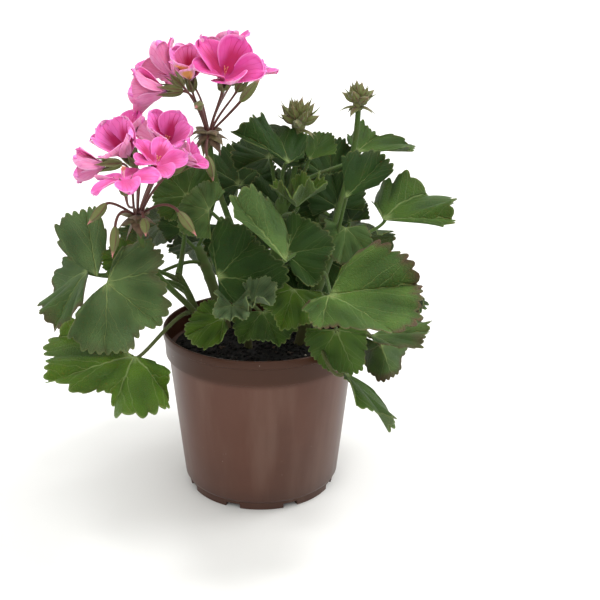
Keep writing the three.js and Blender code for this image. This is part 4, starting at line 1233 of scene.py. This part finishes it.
bm = bmesh.new()
corners = [bm.verts.new((r * MM, 0, z * MM)) for r, z in POT_SECTION]
for a, b in zip(corners, corners[1:]):
    bm.edges.new((a, b))
bmesh.ops.spin(bm, geom=bm.verts[:] + bm.edges[:], cent=(0, 0, 0), axis=UP, angle=2 * pi,
               steps=POT_STEPS, use_merge=True)
bmesh.ops.remove_doubles(bm, verts=bm.verts, dist=WELD)
pot = finish_piece("nursery_pot", bm, [plastic], "pot", sharp=POT_SHARP)

bm = bmesh.new()
for k in range(SLOTS):
    turn = Matrix.Rotation(2 * pi * (k + 0.5) / SLOTS, 4, "Z")
    size = Matrix.Diagonal((*(s * MM for s in SLOT_SIZE), 1))
    bmesh.ops.create_cube(bm, size=1, matrix=turn @ Matrix.Translation((SLOT_MIDDLE * MM, 0, 0)) @ size)
cutter = new_object("slots", bm)
cut = pot.modifiers.new("slots", "BOOLEAN")
cut.operation, cut.object, cut.solver = "DIFFERENCE", cutter, "EXACT"
apply_modifiers(pot)
bpy.data.objects.remove(cutter)
pot.data.set_sharp_from_angle(angle=radians(POT_SHARP))
print("pot faces after the slots:", len(pot.data.polygons))

# %% [markdown]
# ## The soil
# Potting soil is dark, moist and crumbly, with bits of bark and a few pale grains. A bumpy disc alone looks
# like tar, so several hundred crumbs lie on it. Each is an icosphere with very few faces, squashed and
# turned at random and half sunk.


# %% Soil materials
def soil_recipe(tree, dark, light):
    base = mixed(ramp(speckle(tree, 320.0, 5.0), 0.42, 0.75), dark, light)
    return {"Base Color": base, "Normal": raised(speckle(tree, 500.0, 6.0), 0.9, 1.2)}


dark_soil, bark, grit = (
    new_material(name, soil_recipe, dark, light, roughness=roughness, specular_ior_level=0.25)
    for name, dark, light, roughness in (
        ("soil", (0.003, 0.003, 0.0025), (0.014, 0.011, 0.008), 0.95),
        ("bark bits", (0.025, 0.015, 0.009), (0.08, 0.05, 0.03), 0.8),
        ("pale grit", (0.3, 0.27, 0.22), (0.5, 0.46, 0.4), 0.85),
    )
)

# %% Soil and crumbs
SOIL_TOP, SOIL_CROWN, SOIL_SINK, SOIL_RADIUS, SOIL_BOTTOM = 98, 3, 1.2, 58.2, 2.3
SOIL_SIDE = [(0, SOIL_BOTTOM), (47, SOIL_BOTTOM), (47, 6), (50.2, 9)]  # radius and height, up to the top
SOIL_STEPS, SOIL_ROWS, TOP_ROWS = 96, 44, 40
CRUMB_EDGE, CRUMB_UP, CRUMB_TURN, CRUMB_TILT = 2.5, 0.2, 6.28, 0.6  # mm, share of the size, radians


def soil_height(x, y):
    from_middle = hypot(x, y) / SOIL_RADIUS
    lumps = noise.noise(Vector((x, y, 0)) * 0.09) * 1.6 + noise.noise(Vector((x, y, 5)) * 0.3) * 0.7
    return SOIL_TOP + SOIL_CROWN * (1 - from_middle**2) - SOIL_SINK + lumps * (1 - 0.6 * from_middle**4)


def soil_place(u, v):
    """From the middle of the bottom, out, up the side and back over the top to its middle."""
    angle, row = 2 * pi * u, round(v * SOIL_ROWS)
    on_top = row >= len(SOIL_SIDE)
    radius = SOIL_RADIUS * (SOIL_ROWS - row) / TOP_ROWS if on_top else SOIL_SIDE[row][0]
    x, y = radius * cos(angle), radius * sin(angle)
    return Vector((x, y, soil_height(x, y) if on_top else SOIL_SIDE[row][1])), (0, 0, 0)


def add_crumb(bm, draw, size, squash):
    angle, radius = draw.uniform(0, 2 * pi), (SOIL_RADIUS - CRUMB_EDGE) * sqrt(draw.random())
    x, y = radius * cos(angle), radius * sin(angle)
    place = Matrix.Translation(Vector((x, y, soil_height(x, y) + size * CRUMB_UP)) * MM)
    turn = Matrix.Rotation(draw.uniform(0, CRUMB_TURN), 4, "Z")
    turn = turn @ Matrix.Rotation(draw.uniform(-CRUMB_TILT, CRUMB_TILT), 4, "X")
    shape = Matrix.Diagonal((1, draw.uniform(0.6, 0.9), squash, 1))
    made = bmesh.ops.create_icosphere(bm, subdivisions=1, radius=size * MM, matrix=place @ turn @ shape)
    for corner in made["verts"]:
        corner.co += Vector([draw.uniform(-0.2, 0.2) * size * MM for _ in range(3)])


bm = bmesh.new()
bend_grid(bm, SOIL_STEPS, SOIL_ROWS, soil_place)
finish_piece("soil_bed", bm, [dark_soil], "potting_soil")
for name, material, count, sizes, squash in (
    ("soil_crumbs", dark_soil, 900, (0.7, 2.0), 0.7),
    ("bark_bits", bark, 90, (1.2, 2.6), 0.4),
    ("pale_grit", grit, 26, (0.5, 1.0), 0.8),
):
    draw, bm = random.Random(count), bmesh.new()
    for _ in range(count):
        add_crumb(bm, draw, draw.uniform(*sizes), squash)
    finish_piece(name, bm, [material])

# %% [markdown]
# ## Floor and light
# The photograph was taken on a plain white surface in soft light from above and from the right, so that a
# faint shadow falls to the left. A wide sky, brighter overhead, fills the shadows, and one distant soft lamp
# shapes them.

# %% Floor, sky and lamp
FLOOR_SIZE = 6  # metres
LAMP_TOWARDS, LAMP_SOFTNESS, LAMP_POWER = (10, 60), 20, 1.5  # azimuth and elevation, degrees, W/m2


def floor_recipe(tree):
    return {"Base Color": mixed(speckle(tree, 3.0), (0.76, 0.76, 0.747), (0.78, 0.78, 0.767))}


bm = bmesh.new()
bmesh.ops.create_grid(bm, x_segments=1, y_segments=1, size=FLOOR_SIZE)
new_object("floor", bm, [new_material("white floor", floor_recipe, roughness=0.75)])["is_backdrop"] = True

world = bpy.data.worlds.new("soft sky")
bpy.context.scene.world = world
world.use_nodes = True
sky = world.node_tree.nodes["Background"]
upward = parts(add_node(world.node_tree, "TexCoord", output="Generated"))[2]
world.node_tree.links.new((ramp(upward, 0.1, 0.9) * 0.7 + 1.0).socket, sky.inputs["Strength"])
sky.inputs["Color"].default_value = (1.0, 1.0, 0.985, 1.0)

lamp = bpy.data.lights.new("window", "SUN")
lamp.energy, lamp.angle = LAMP_POWER, radians(LAMP_SOFTNESS)
window = link(bpy.data.objects.new("window", lamp))
window.rotation_euler = bearing(*LAMP_TOWARDS).to_track_quat("Z", "Y").to_euler()
print("floor, sky and one soft lamp")

# %% [markdown]
# ## Check the size and finish
# The dressed plant is meant to be no larger than the imported one, so the corners of its box are printed as
# distances from those of the imported box.

# %% Size and finish
visual_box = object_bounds()
for label, visual, cad in zip(("low corner", "high corner"), visual_box, cad_box):
    print(label, [round((v - c) / MM, 2) for v, c in zip(visual, cad)], "mm off the CAD box")
